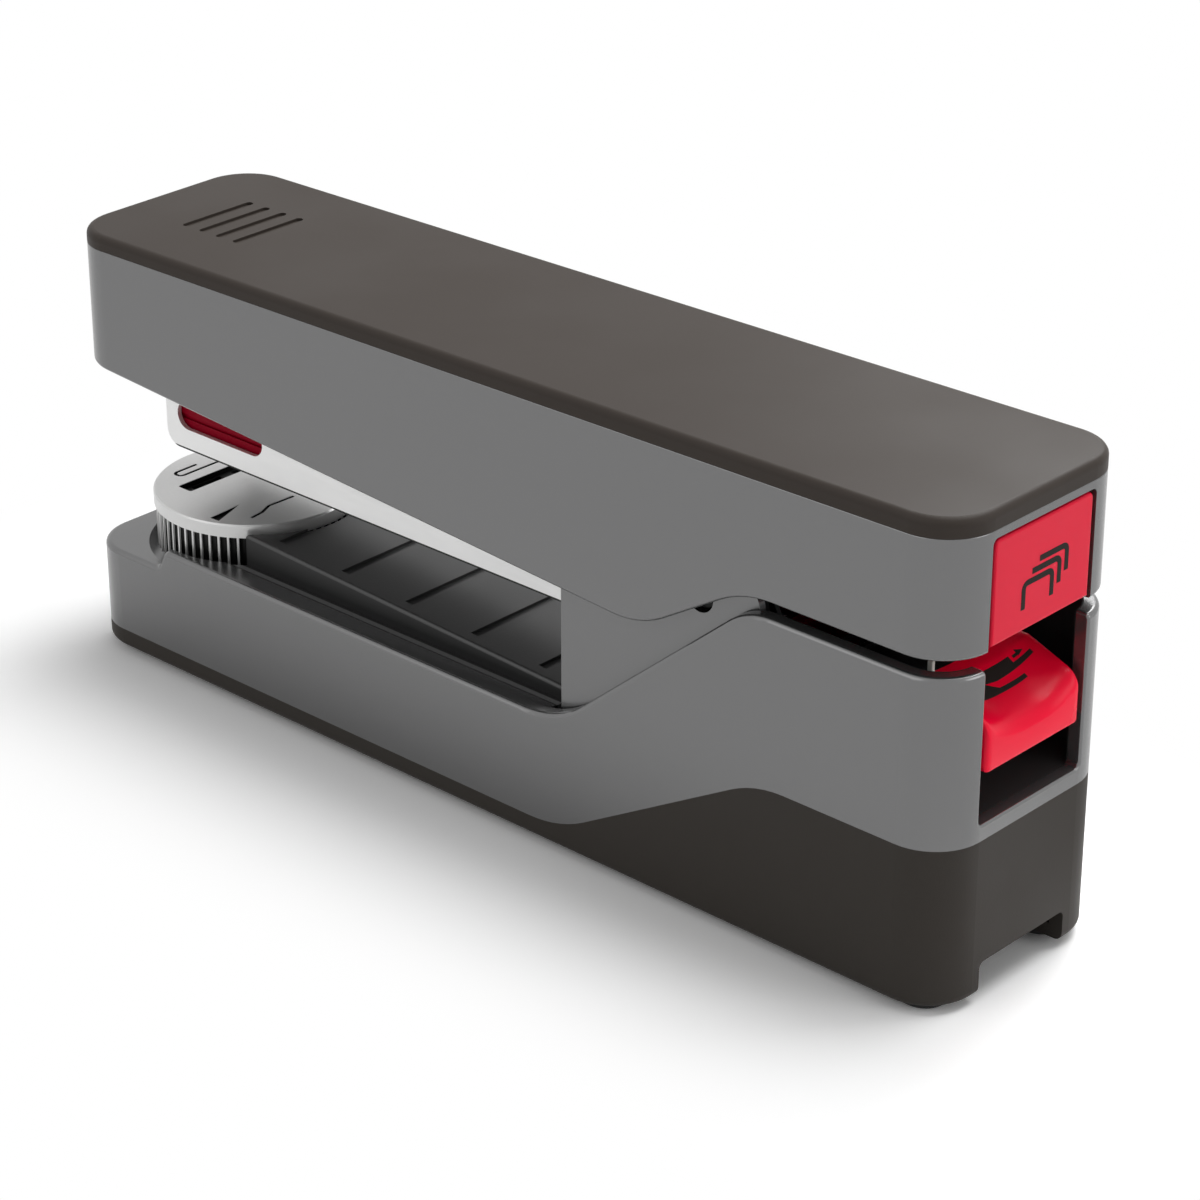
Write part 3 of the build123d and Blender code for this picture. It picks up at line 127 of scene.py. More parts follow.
# Outlines of the lever's mark, from the lever's end inwards and from its middle line, in millimetres
LEVER_MARK = (
    ((8.6, -6.2), (8.6, 4.8), (7.6, 4.8), (7.6, 8.6), (6.9, 8.6), (6.7, 0.0), (7.0, -2.6), (5.8, -0.6),
     (5.7, 5.0), (5.1, 5.0), (5.1, -6.2)),
    ((8.4, 5.4), (8.4, 6.4), (8.9, 6.4), (8.2, 7.7), (7.9, 6.4), (8.0, 6.4), (8.0, 5.4)),
)
LEVER_MARK_GRID = 0.6 * MM
MARK_DEPTH = 0.2 * MM

# The button's mark: one staple and two that stand behind it
MARK_BEND = 0.9 * MM
MARK_LEG = 3.9 * MM
MARK_SPAN = 6.5 * MM
MARK_STEP = Vector((0, 1.6, 1.4)) * MM
MARK_FOOT_Y = -4.3 * MM
MARK_FOOT_Z = 60.6 * MM
MARK_COPIES = 3
MARK_HIDDEN = 0.2 * MM

# Ribs in painted shade behind the slits beside the button
RIB_INWARDS = 3.1 * MM
RIB_LENGTH = 2.0 * MM
RIB_GAP = 0.1 * MM
RIB_SHORTER = 0.4 * MM

# The pale strip beside the lever
GUIDE_INWARDS = 8.6 * MM
GUIDE_OUTWARDS = 2.2 * MM
GUIDE_FOOT = 29.4 * MM
GUIDE_TOP_GAP = 0.8 * MM
GUIDE_EDGE = 0.15 * MM

STAPLE_PLAY = 0.02 * MM
STAPLE_GAP = 0.08 * MM

BEND_STEPS = 6
COIL_STEPS = 20
WIRE_SIDES = 12

FLOOR_HALF = 4
FLOOR_LEVEL = 0.85
FLOOR_SEEN_LEVEL = 1.2
FLOOR_FADE_START = 4 * MM
FLOOR_FADE_END = 52 * MM
SENSOR_WIDTH = 36
NEAREST_SEEN = 0.01


class Spring(NamedTuple):
    """A wound spring: what it stands for and rides on, and how far a joint closes it to its held end."""

    node: str
    piece: str
    body: str
    joint: str
    along: str
    held: str
    wire: float
    turns: int
    closes: float


SPRINGS = (
    Spring("pusher_spring", "pusher_coil", "drawer", "pusher_slide",
           along="x", held="high", wire=0.35 * MM, turns=24, closes=35.1 * MM),
    Spring("button_springs", "button_coils", "handle", "load_button_slide",
           along="x", held="low", wire=0.30 * MM, turns=6, closes=4.1 * MM),
    Spring("lever_spring", "lever_coil", "base", "lever_press",
           along="z", held="low", wire=0.35 * MM, turns=6, closes=2.4 * MM),
    Spring("handle_spring", "handle_coil", "handle", "handle_press",
           along="z", held="high", wire=0.45 * MM, turns=7, closes=1.85 * MM),
    Spring("return_spring", "return_coil", "base", "magazine_pivot",
           along="z", held="low", wire=0.50 * MM, turns=8, closes=1.2 * MM),
)


class Lamp(NamedTuple):
    """A softbox: the setting with its power, where it hangs, what it faces, its two sizes and its spread."""

    setting: str
    spot: tuple
    target: tuple
    size: tuple
    spread: float = pi


LAMPS = (
    Lamp("top", (0.12, 0.42, 1.20), (0.02, 0.02, 0.0), (0.8, 0.8)),
    Lamp("side", (0.95, 0.30, 0.42), (0.06, 0, 0.05), (0.5, 0.5)),
    Lamp("ground", (0.28, 0.22, 0.30), (0.28, 0.22, 0), (0.2, 0.2), radians(80)),
    Lamp("sheen", (-0.01, 0.22, 0.23), (0.07, 0, 0.078), (0.16, 0.10)),
    Lamp("fill", (-0.35, -1.10, 0.75), (0, 0, 0.04), (1.2, 0.9)),
)


def colour(label, text, default):
    """A colour that a user can change."""
    return FloatVectorProperty(
        name=label, description=text, default=default, size=3, subtype="COLOR", min=0, max=1
    )


def distance(label, text, default):
    """A length that a user can change, in metres."""
    return FloatProperty(name=label, description=text, default=default, min=0, precision=5, unit="LENGTH")


def place(label, text, default):
    """A point in the stapler's frame that a user can change."""
    return FloatVectorProperty(
        name=label, description=text, default=default, size=3, subtype="XYZ", unit="LENGTH"
    )


def power(label, text, default):
    """A lamp's power that a user can change."""
    return FloatProperty(name=label, description=text, default=default, min=0, unit="POWER")


class StaplerColours(bpy.types.PropertyGroup):
    """Colours of the stapler's finishes, and of the painted shade and light laid on some of them."""

    cover: colour("Cover", "Soft-touch cover on the handle", (0.048, 0.0395, 0.0340))
    tray: colour("Tray", "Moulded tray under the base", (0.035, 0.030, 0.0255))
    shell: colour("Shells", "Satin lacquer on the handle and the base", (0.182, 0.182, 0.183))
    deck: colour("Deck", "Moulded deck, pusher and blade holder", (0.042, 0.042, 0.042))
    # Painted light: a lighter tint that lifts the shaded flange between the deck's two seams
    flange: colour("Flange", "Flange along the deck's foot", (0.160, 0.160, 0.160))
    red: colour("Red", "Load button", (0.770, 0.003, 0.034))
    # Its own red, lifted by painted light to make up for the shade the lever sits in under the handle
    lever: colour("Lever red", "Thumb lever", (0.950, 0.002, 0.036))
    drawer: colour("Drawer", "Staple drawer", (0.300, 0.000, 0.014))
    rubber: colour("Rubber", "Pads under the tray", (0.018, 0.018, 0.018))
    bright: colour("Bright steel", "Magazine channel and nose plate", (0.880, 0.880, 0.875))
    anvil: colour("Anvil", "Cast turntable", (0.680, 0.680, 0.675))
    # Blackened steel on the frame and clinch plate; on the hinge pin's end it is also painted shade for its
    # hole
    blackened: colour("Blackened steel", "Hinge pin, handle frame and clinch plate", (0.030, 0.030, 0.030))
    steel: colour("Steel", "Screws, lever pin and guide rod", (0.480, 0.480, 0.475))
    spring: colour("Spring steel", "Springs and blade", (0.400, 0.395, 0.385))
    staple: colour("Staples", "Galvanised staple wire", (0.700, 0.700, 0.705))
    brass: colour("Brass", "Turned bushes", (0.600, 0.440, 0.190))
    nylon: colour("Nylon", "Spacer sleeves and the strip beside the lever", (0.700, 0.690, 0.640))
    # Painted shade: the tint laid where insides, recesses and gaps stand in shade
    inside: colour("Inside", "Dark inside of the shells and of the lever's arm", (0.006, 0.006, 0.006))
    mark: colour("Marks", "Printed marks on the red controls", (0.020, 0.018, 0.016))


class StaplerSizes(bpy.types.PropertyGroup):
    """Sizes of the modelled details."""

    scoop_depth: distance("Thumb dish", "Depth of the dish in the thumb lever", 2.9 * MM)
    lever_round: distance("Lever side round", "Round along the lever's side edges", 0.9 * MM)
    mark_line: distance("Mark line", "Line width of the button's mark", 0.92 * MM)
    mark_relief: distance("Mark relief", "Height of a printed mark over its face", 0.03 * MM)
    staple_wire: distance("Staple wire", "Thickness of the staple wire", 0.5 * MM)
    staple_count: IntProperty(name="Staples", description="Staples in the strip", default=80, min=1)
    dish_length: distance("Dish length", "How far the dish runs in from the lever's end", 17.0 * MM)
    dish_half: distance("Dish half width", "Where the dish meets the lever's side rims", 10.2 * MM)
    guide_width: distance("Guide ribs", "Width of the ribs behind the slits beside the button", 1.8 * MM)
    strip_thickness: distance("Guide strip", "Thickness of the pale strip beside the lever", 0.8 * MM)


class StaplerStage(bpy.types.PropertyGroup):
    """Camera and lamps."""

    camera: place("Camera", "Where the camera stands", (0.35989, -0.38096, 0.28595))
    target: place("Target", "What the camera looks at", (0.00858, 0.0, 0.03319))
    lens: FloatProperty(name="Lens", description="Focal length in millimetres", default=111.655, min=1)
    sky: FloatProperty(name="Sky", description="Strength of the even light", default=0.31, min=0)
    top: power("Top lamp", "Softbox over the stapler", 9.6)
    side: power("Side lamp", "Softbox at the rear end", 2.0)
    ground: power("Ground lamp", "Lamp over the floor at the rear end", 0.34)
    fill: power("Fill lamp", "Softbox on the near side", 3.3)
    sheen: power("Sheen lamp", "Small softbox that the cover mirrors", 0.35)


# Shader node helpers


def shared_group(build):
    """Build a node group under its function's name once, and hand out that one from then on."""
    name = build.__name__.replace("_", " ")

    def fetch():
        return bpy.data.node_groups.get(name) or build(name)

    return fetch


def make_group(name, inputs, outputs):
    """A shader node group with float inputs and outputs, and its end nodes."""
    group = bpy.data.node_groups.new(name, "ShaderNodeTree")
    for label, default in inputs:
        socket = group.interface.new_socket(label, in_out="INPUT", socket_type="NodeSocketFloat")
        socket.default_value = default
    for label in outputs:
        group.interface.new_socket(label, in_out="OUTPUT", socket_type="NodeSocketFloat")
    return group, group.nodes.new("NodeGroupInput"), group.nodes.new("NodeGroupOutput")


def add_noise(group, vector, scale, detail):
    """A noise texture on the given vector, with its scale from a socket."""
    noise = group.nodes.new("ShaderNodeTexNoise")
    noise.inputs["Detail"].default_value = detail
    group.links.new(vector, noise.inputs["Vector"])
    group.links.new(scale, noise.inputs["Scale"])
    return noise.outputs["Fac"]


@shared_group
def moulded_grain(name):
    """Fine grain of a moulded or lacquered surface, with slow clouds of shade."""
    sockets = (("Grain scale", 2600), ("Cloud scale", 28))
    group, start, end = make_group(name, sockets, ("Grain", "Cloud"))
    vector = group.nodes.new("ShaderNodeTexCoord").outputs["Object"]
    grain = add_noise(group, vector, start.outputs["Grain scale"], 2.0)
    cloud = add_noise(group, vector, start.outputs["Cloud scale"], 3.0)
    group.links.new(grain, end.inputs["Grain"])
    group.links.new(cloud, end.inputs["Cloud"])
    return group


@shared_group
def drawn_grain(name):
    """Long fine lines of rolled, drawn or brushed metal, with slow clouds of shade."""
    sockets = (("Line scale", 3000), ("Cloud scale", 40), ("Along X", 0.05), ("Along Y", 1), ("Along Z", 1))
    group, start, end = make_group(name, sockets, ("Lines", "Cloud"))
    vector = group.nodes.new("ShaderNodeTexCoord").outputs["Object"]
    stretch = group.nodes.new("ShaderNodeCombineXYZ")
    for axis in "XYZ":
        group.links.new(start.outputs[f"Along {axis}"], stretch.inputs[axis])
    spread = group.nodes.new("ShaderNodeVectorMath")
    spread.operation = "MULTIPLY"
    group.links.new(vector, spread.inputs[0])
    group.links.new(stretch.outputs["Vector"], spread.inputs[1])
    lines = add_noise(group, spread.outputs["Vector"], start.outputs["Line scale"], 2.0)
    cloud = add_noise(group, vector, start.outputs["Cloud scale"], 2.0)
    group.links.new(lines, end.inputs["Lines"])
    group.links.new(cloud, end.inputs["Cloud"])
    return group


def maths(group, operation, first, second=None):
    """One arithmetic node on a socket and a second socket or number."""
    node = group.nodes.new("ShaderNodeMath")
    node.operation = operation
    group.links.new(first, node.inputs[0])
    if isinstance(second, float):
        node.inputs[1].default_value = second
    elif second is not None:
        group.links.new(second, node.inputs[1])
    return node.outputs["Value"]


def seen_ray(tree):
    """Mask of the rays that show the background: straight to the camera, mirrored or let through."""
    path = tree.nodes.new("ShaderNodeLightPath")
    seen = maths(tree, "MAXIMUM", path.outputs["Is Camera Ray"], path.outputs["Is Glossy Ray"])
    return maths(tree, "MAXIMUM", seen, path.outputs["Is Transmission Ray"])


def object_spot(group):
    """The place on the piece, as one output for each axis."""
    spot = group.nodes.new("ShaderNodeSeparateXYZ")
    group.links.new(group.nodes.new("ShaderNodeTexCoord").outputs["Object"], spot.inputs["Vector"])
    return spot.outputs


def reach(group, first, second):
    """Length of a diagonal from sockets with its two sides."""
    squares = [maths(group, "MULTIPLY", side, side) for side in (first, second)]
    return maths(group, "SQRT", maths(group, "ADD", *squares))


def beyond_box(group, spot, length, width):
    """Distance outwards in plan from an upright box around the origin, from sockets with its half sizes."""
    sides = []
    for axis, half in (("X", length), ("Y", width)):
        over = maths(group, "SUBTRACT", maths(group, "ABSOLUTE", spot[axis]), half)
        sides.append(maths(group, "MAXIMUM", over, 0.0))
    return reach(group, *sides)


@shared_group
def floor_fade(name):
    """Share of plain white on the floor, from none at the stapler to all of it further away."""
    sockets = (("Half length", 0.09), ("Half width", 0.02), ("Start", 0.02), ("End", 0.12))
    group, start, end = make_group(name, sockets, ("Fade",))
    away = beyond_box(group, object_spot(group), start.outputs["Half length"], start.outputs["Half width"])
    ease = group.nodes.new("ShaderNodeMapRange")
    ease.interpolation_type = "SMOOTHSTEP"
    group.links.new(away, ease.inputs["Value"])
    group.links.new(start.outputs["Start"], ease.inputs["From Min"])
    group.links.new(start.outputs["End"], ease.inputs["From Max"])
    group.links.new(ease.outputs["Result"], end.inputs["Fade"])
    return group


@shared_group
def inner_mask(name):
    """Mask of the space inside a rounded shell, from one point along it to another, where painted shade goes.
    """
    sockets = (
        ("Straight length", 0.083),
        ("Straight width", 0.011),
        ("Reach", 0.007),
        ("From X", -EVERYWHERE),
        ("To X", EVERYWHERE),
    )
    group, start, end = make_group(name, sockets, ("Mask",))
    spot = object_spot(group)
    away = beyond_box(group, spot, start.outputs["Straight length"], start.outputs["Straight width"])
    mask = maths(group, "LESS_THAN", away, start.outputs["Reach"])
    for operation, limit in (("GREATER_THAN", "From X"), ("LESS_THAN", "To X")):
        side = maths(group, operation, spot["X"], start.outputs[limit])
        mask = maths(group, "MULTIPLY", mask, side)
    group.links.new(mask, end.inputs["Mask"])
    return group


@shared_group
def well_mask(name):
    """Mask of what lies within a radius of an upright axis and below a level, where painted shade goes."""
    group, start, end = make_group(name, (("Centre X", 0), ("Radius", 0.01), ("Below", 0.01)), ("Mask",))
    spot = object_spot(group)
    away = reach(group, maths(group, "SUBTRACT", spot["X"], start.outputs["Centre X"]), spot["Y"])
    inside = maths(group, "LESS_THAN", away, start.outputs["Radius"])
    below = maths(group, "LESS_THAN", spot["Z"], start.outputs["Below"])
    group.links.new(maths(group, "MULTIPLY", inside, below), end.inputs["Mask"])
    return group


@shared_group
def line_mask(name):
    """Mask of two lines along the part, one on each side, between two distances from the middle, for the
    deck's painted light and shade.
    """
    group, start, end = make_group(name, (("From Y", 0.01), ("To Y", 0.011)), ("Mask",))
    across = maths(group, "ABSOLUTE", object_spot(group)["Y"])
    beyond = maths(group, "GREATER_THAN", across, start.outputs["From Y"])
    within = maths(group, "LESS_THAN", across, start.outputs["To Y"])
    group.links.new(maths(group, "MULTIPLY", beyond, within), end.inputs["Mask"])
    return group


def new_material(name):
    """An empty material with its shader, and the node tree it sits in."""
    material = bpy.data.materials.new(name)
    material.use_nodes = True
    tree = material.node_tree
    return material, tree, tree.nodes["Principled BSDF"]


def set_inputs(node, values):
    """Set a node's inputs by name, with underscores for spaces."""
    for label, value in values.items():
        node.inputs[label.replace("_", " ")].default_value = value


def place_group(tree, group, **values):
    """Put a node group in a material and set its inputs by name."""
    node = tree.nodes.new("ShaderNodeGroup")
    node.node_tree = group
    set_inputs(node, values)
    return node


def shade_between(tree, factor, shader, tint, spread):
    """Base colour that wanders a little either side of a tint."""
    mix = tree.nodes.new("ShaderNodeMix")
    mix.data_type = "RGBA"
    mix.inputs["A"].default_value = (*(channel * (1 - spread) for channel in tint), 1)
    mix.inputs["B"].default_value = (*(min(1, channel * (1 + spread)) for channel in tint), 1)
    tree.links.new(factor, mix.inputs["Factor"])
    tree.links.new(mix.outputs["Result"], shader.inputs["Base Color"])


def rough_between(tree, factor, shader, low, high):
    """Roughness that follows a pattern's middle range."""
    spread = tree.nodes.new("ShaderNodeMapRange")
    spread.interpolation_type = "SMOOTHSTEP"
    set_inputs(spread, {"From_Min": 0.3, "From_Max": 0.7, "To_Min": low, "To_Max": high})
    tree.links.new(factor, spread.inputs["Value"])
    tree.links.new(spread.outputs["Result"], shader.inputs["Roughness"])


def raise_grain(tree, height, shader, strength, depth):
    """Bump from a pattern, with its depth in metres."""
    bump = tree.nodes.new("ShaderNodeBump")
    set_inputs(bump, {"Strength": strength, "Distance": depth})
    tree.links.new(height, bump.inputs["Height"])
    tree.links.new(bump.outputs["Normal"], shader.inputs["Normal"])


def moulded(name, tint, rough, grain_scale=2600, depth=0.02 * MM, spread=0.05, **sockets):
    """A moulded plastic, rubber or lacquer finish."""
    material, tree, shader = new_material(name)
    grain = place_group(tree, moulded_grain(), Grain_scale=grain_scale)
    shade_between(tree, grain.outputs["Cloud"], shader, tint, spread)
    rough_between(tree, grain.outputs["Cloud"], shader, *rough)
    raise_grain(tree, grain.outputs["Grain"], shader, GRAIN_STRENGTH, depth)
    set_inputs(shader, sockets)
    return material


def drawn(name, tint, rough, along=LINES_ALONG, line_scale=3000, depth=0.006 * MM, metallic=1.0):
    """A metal finish with lines along one way, or with an even grain."""
    material, tree, shader = new_material(name)
    stretch = {f"Along_{axis}": share for axis, share in zip("XYZ", along)}
    lines = place_group(tree, drawn_grain(), Line_scale=line_scale, **stretch)
    shade_between(tree, lines.outputs["Cloud"], shader, tint, spread=0.06)
    rough_between(tree, lines.outputs["Lines"], shader, *rough)
    raise_grain(tree, lines.outputs["Lines"], shader, LINE_STRENGTH, depth)
    set_inputs(shader, {"Metallic": metallic})
    return material


def blend_value(tree, shader, label, mask, level):
    """Bring one value of a shader to a level where a mask says."""
    socket = shader.inputs[label]
    mix = tree.nodes.new("ShaderNodeMix")
    set_inputs(mix, {"A": socket.default_value, "B": level})
    if socket.is_linked:
        tree.links.new(socket.links[0].from_socket, mix.inputs["A"])
    tree.links.new(mask, mix.inputs["Factor"])
    tree.links.new(mix.outputs["Result"], socket)


def darken(material, tint, group, dull=False, **limits):
    """Lay another tint as painted shade or painted light where a mask group says, and on request make it dull
    there.
    """
    tree = material.node_tree
    shader = tree.nodes["Principled BSDF"]
    outer = shader.inputs["Base Color"].links[0].from_socket
    mix = tree.nodes.new("ShaderNodeMix")
    mix.data_type = "RGBA"
    mix.inputs["B"].default_value = (*tint, 1)
    mask = place_group(tree, group, **limits).outputs["Mask"]
    tree.links.new(mask, mix.inputs["Factor"])
    tree.links.new(outer, mix.inputs["A"])
    tree.links.new(mix.outputs["Result"], shader.inputs["Base Color"])
    if dull:
        blend_value(tree, shader, "Roughness", mask, DULL_ROUGHNESS)
        blend_value(tree, shader, "Metallic", mask, 0.0)
    return material


def lacquer(name, colours, skin, **limits):
    """Satin grey lacquer with painted shade inside, dull there, which starts a skin's thickness in from the
    outer plan.
    """
    material = moulded(
        name,
        colours.shell,
        rough=(0.22, 0.27),
        grain_scale=7000,
        depth=0.003 * MM,
        spread=0.02,
        Metallic=0.75,
        Specular_IOR_Level=0.45,
    )
    plan = {
        "Straight_length": BASE_HIGH.x - PLAN_CORNER,
        "Straight_width": BASE_HIGH.y - PLAN_CORNER,
        "Reach": PLAN_CORNER - skin,
    }
    return darken(material, colours.inside, inner_mask(), dull=True, **plan, **limits)


def gloss_red(name, tint):
    """Gloss red of the two controls."""
    return moulded(
        name,
        tint,
        rough=(0.24, 0.30),
        grain_scale=1800,
        depth=0.003 * MM,
        spread=0.03,
        Specular_IOR_Level=0.15,
    )


def printed_ink(colours):
    """Dark ink of the printed marks."""
    return moulded(
        "printed mark", colours.mark, rough=(0.50, 0.60), depth=0.004 * MM, Specular_IOR_Level=0.08
    )


def anvil_finish(colours):
    """Cast metal with painted shade on all that sits below its top inside the rim: marks, slot and knurl
    grooves.
    """
    material = drawn(
        "cast anvil",
        colours.anvil,
        rough=(0.30, 0.40),
        along=NO_LINES,
        line_scale=2200,
        depth=0.008 * MM,
        metallic=0.6,
    )
    middle = (ANVIL_LOW + ANVIL_HIGH) / 2
    radius = (ANVIL_HIGH.y - ANVIL_LOW.y) / 2
    well = {"Centre_X": middle.x, "Radius": radius - ANVIL_RIM, "Below": ANVIL_HIGH.z - ANVIL_SKIN}
    return darken(material, colours.inside, well_mask(), **well)


def bright_steel(name, colours):
    """Bright rolled steel with lines along the magazine."""
    return drawn(name, colours.bright, rough=(0.30, 0.42), metallic=0.55)


def channel_finish(colours):
    """Bright steel with painted shade on its lower lip and behind the pivot."""
    material = bright_steel("channel steel", colours)
    behind = {"Straight_length": EVERYWHERE, "Straight_width": EVERYWHERE, "From_X": PIN_LOW.x}
    darken(material, colours.inside, inner_mask(), **behind)
    return darken(material, colours.inside, well_mask(), Radius=EVERYWHERE, Below=CHANNEL_LOW.z + CHANNEL_LIP)


def deck_finish(colours):
    """Moulded deck with painted light on its flange between two seams of painted shade."""
    material = moulded("moulded deck", colours.deck, rough=(0.36, 0.46), grain_scale=3200)
    edge = DECK_HIGH.y
    foot = edge - DECK_FLANGE
    darken(material, colours.flange, line_mask(), From_Y=foot, To_Y=edge + DECK_SEAM)
    for first, last in ((edge - DECK_SEAM, edge + DECK_SEAM), (foot, foot + DECK_SEAM)):
        darken(material, colours.inside, line_mask(), From_Y=first, To_Y=last)
    return material


def node_finishes(colours):
    """Finishes that belong to one node each, by that node."""
    return {
        "base_shell": lacquer("base lacquer", colours, BASE_SKIN, From_X=BASE_INSIDE_FROM),
        "handle_shell": lacquer("handle lacquer", colours, HANDLE_SKIN),
        "deck_insert": deck_finish(colours),
        "magazine_channel": channel_finish(colours),
        "pivot_yoke": lacquer("yoke lacquer", colours, YOKE_SKIN),
    }


def slot_finishes(colours):
    """Finishes that pieces share, by their slot."""
    return {
        "soft_cover": moulded(
            "soft touch cover",
            colours.cover,
            rough=(0.44, 0.52),
            grain_scale=5200,
            depth=0.012 * MM,
            spread=0.03,
            Specular_IOR_Level=0.10,
        ),
        "dark_shell": moulded(
            "moulded tray", colours.tray, rough=(0.48, 0.60), grain_scale=3800, Specular_IOR_Level=0.18
        ),
        "deck_black": moulded(
            "moulded black", colours.deck, rough=(0.42, 0.55), grain_scale=3200, depth=0.03 * MM
        ),
        "pad_rubber": moulded(
            "pad rubber", colours.rubber, rough=(0.72, 0.85), grain_scale=2400, depth=0.05 * MM
        ),
        "red_gloss": gloss_red("gloss red", colours.red),
        "red_drawer": moulded(
            "satin red drawer", colours.drawer, rough=(0.36, 0.46), depth=0.012 * MM, Specular_IOR_Level=0.05
        ),
        "nylon": moulded("natural nylon", colours.nylon, rough=(0.40, 0.50), depth=0.01 * MM),
        "bright_steel": bright_steel("bright steel", colours),
        "anvil_metal": anvil_finish(colours),
        "dark_steel": drawn(
            "blackened steel", colours.blackened, rough=(0.40, 0.55), along=NO_LINES, line_scale=2200
        ),
        "steel": drawn("plated steel", colours.steel, rough=(0.28, 0.42), along=NO_LINES, line_scale=2600),
        "spring_steel": drawn(
            "spring steel", colours.spring, rough=(0.26, 0.40), along=NO_LINES, line_scale=3200
        ),
        "staple_wire": drawn(
            "staple wire", colours.staple, rough=(0.22, 0.34), along=(1, 0.08, 1), line_scale=3600
        ),
        "brass": drawn("turned brass", colours.brass, rough=(0.26, 0.38), along=(1, 0.2, 1)),
    }


def slot_material(slot):
    """The finish that the painted frame pieces use for a slot."""
    row = next(row for row in frame["record"]["subparts"] if row["material_slot"] == slot)
    return frame["nodes"][row["node"]].material_slots[0].material


# Mesh helpers


def finish_piece(mesh_work, name, body, material, stands_for=()):
    """Turn a worked mesh into a finished piece that rides on a body."""
    bmesh.ops.recalc_face_normals(mesh_work, faces=mesh_work.faces)
    for face in mesh_work.faces:
        face.smooth = True
    for edge in mesh_work.edges:
        edge.smooth = edge.calc_face_angle(pi) < SHARP_ANGLE
    mesh = bpy.data.meshes.new(name)
    mesh_work.to_mesh(mesh)
    mesh_work.free()
    mesh.materials.append(material)
    piece = bpy.data.objects.new(name, mesh)
    bpy.context.scene.collection.objects.link(piece)
    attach(piece, body)
    if stands_for:
        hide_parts(*stands_for)
    return piece


def only(kind, items):
    """The items of one kind."""
    return [item for item in items if isinstance(item, kind)]


def all_of(mesh_work):
    """Everything in a worked mesh."""
    return mesh_work.verts[:] + mesh_work.edges[:] + mesh_work.faces[:]


def loop_of(mesh_work, points):
    """A closed loop of edges through the points."""
    verts = [mesh_work.verts.new(point) for point in points]
    return [mesh_work.edges.new(pair) for pair in zip(verts, verts[1:] + verts[:1])]


def arc_points(centre, radius, first, last, steps):
    """Points along an arc in the XZ plane, angles in degrees."""
    angles = [radians(first + (last - first) * step / steps) for step in range(steps + 1)]
    return [(centre[0] + radius * cos(angle), centre[1] + radius * sin(angle)) for angle in angles]


def extrude_faces(mesh_work, faces, shift):
    """Pull faces out along a vector."""
    result = bmesh.ops.extrude_face_region(mesh_work, geom=faces)
    bmesh.ops.translate(mesh_work, verts=only(BMVert, result["geom"]), vec=shift)


def slice_mesh(mesh_work, spot, way, snap=0):
    """Cut new edges into a mesh along a plane."""
    bmesh.ops.bisect_plane(mesh_work, geom=all_of(mesh_work), plane_co=spot, plane_no=way, dist=snap)


def add_block(mesh_work, middle, size):
    """A block with its middle at a point."""
    spot = Matrix.Translation(middle) @ Matrix.Diagonal((*size, 1))
    bmesh.ops.create_cube(mesh_work, size=1, matrix=spot)


def smooth_step(share):
    """Ease from 0 to 1 while the share runs from 0 to 1."""
    share = min(1, max(0, share))
    return share * share * (3 - 2 * share)


def stroke(mesh_work, start, way, width, moves):
    """Flat line in the YZ plane that runs straight or turns: ("run", length) or ("turn", radius, degrees)."""
    heading = Vector(way)
    side = Vector((0, -heading.z, heading.y))
    ends = [mesh_work.verts.new(start + side * (width * half)) for half in (-0.5, 0.5)]
    edge = mesh_work.edges.new(ends)
    for kind, *amounts in moves:
        if kind == "run":
            result = bmesh.ops.extrude_edge_only(mesh_work, edges=[edge])
            verts = only(BMVert, result["geom"])
            bmesh.ops.translate(mesh_work, verts=verts, vec=heading * amounts[0])
            edge = next(item for item in only(BMEdge, result["geom"]) if set(item.verts) == set(verts))
        else:
            radius, angle = amounts[0], radians(amounts[1])
            inwards = Matrix.Rotation(pi / 2 if angle > 0 else -pi / 2, 3, "X") @ heading
            middle = (edge.verts[0].co + edge.verts[1].co) / 2
            result = bmesh.ops.spin(
                mesh_work,
                geom=[edge, *edge.verts],
                cent=middle + inwards * radius,
                axis=(1, 0, 0),
                angle=angle,
                steps=BEND_STEPS,
            )
            edge = only(BMEdge, result["geom_last"])[0]
            heading = Matrix.Rotation(angle, 3, "X") @ heading


def wind(mesh_work, start, along, radius, wire, rise, turns):
    """Wire wound along an axis from a start point, as one closed tube."""
    side = Vector((0, 1, 0))
    ring_place = Matrix((side, along, side.cross(along))).transposed().to_4x4()
    ring_place.translation = start + side * radius + along * wire
    ring = bmesh.ops.create_circle(mesh_work, segments=WIRE_SIDES, radius=wire, matrix=ring_place)["verts"]
    edges = [edge for edge in mesh_work.edges if edge.is_wire]
    steps = turns * COIL_STEPS
    bmesh.ops.spin(
        mesh_work,
        geom=ring + edges,
        cent=start,
        axis=along,
        dvec=along * ((rise - 2 * wire) / steps),
        angle=2 * pi * turns,
        steps=steps,
    )
    ends = [edge for edge in mesh_work.edges if edge.is_boundary]
    bmesh.ops.holes_fill(mesh_work, edges=ends, sides=len(ring))


class StaplerOperator:
    """What the stapler's operators share."""

    bl_options = {"REGISTER", "UNDO"}


class STAPLER_OT_paint(StaplerOperator, bpy.types.Operator):
    """Give every piece of the frame its finish"""

    bl_idname = "stapler.paint"
    bl_label = "Paint Frame Pieces"

    def execute(self, context):
        by_slot = slot_finishes(context.scene.stapler_colours)
        by_node = node_finishes(context.scene.stapler_colours)
        for row in frame["record"]["subparts"]:
            material = by_node.get(row["node"]) or by_slot[row["material_slot"]]
            for slot in frame["nodes"][row["node"]].material_slots:
                slot.material = material
        return {"FINISHED"}


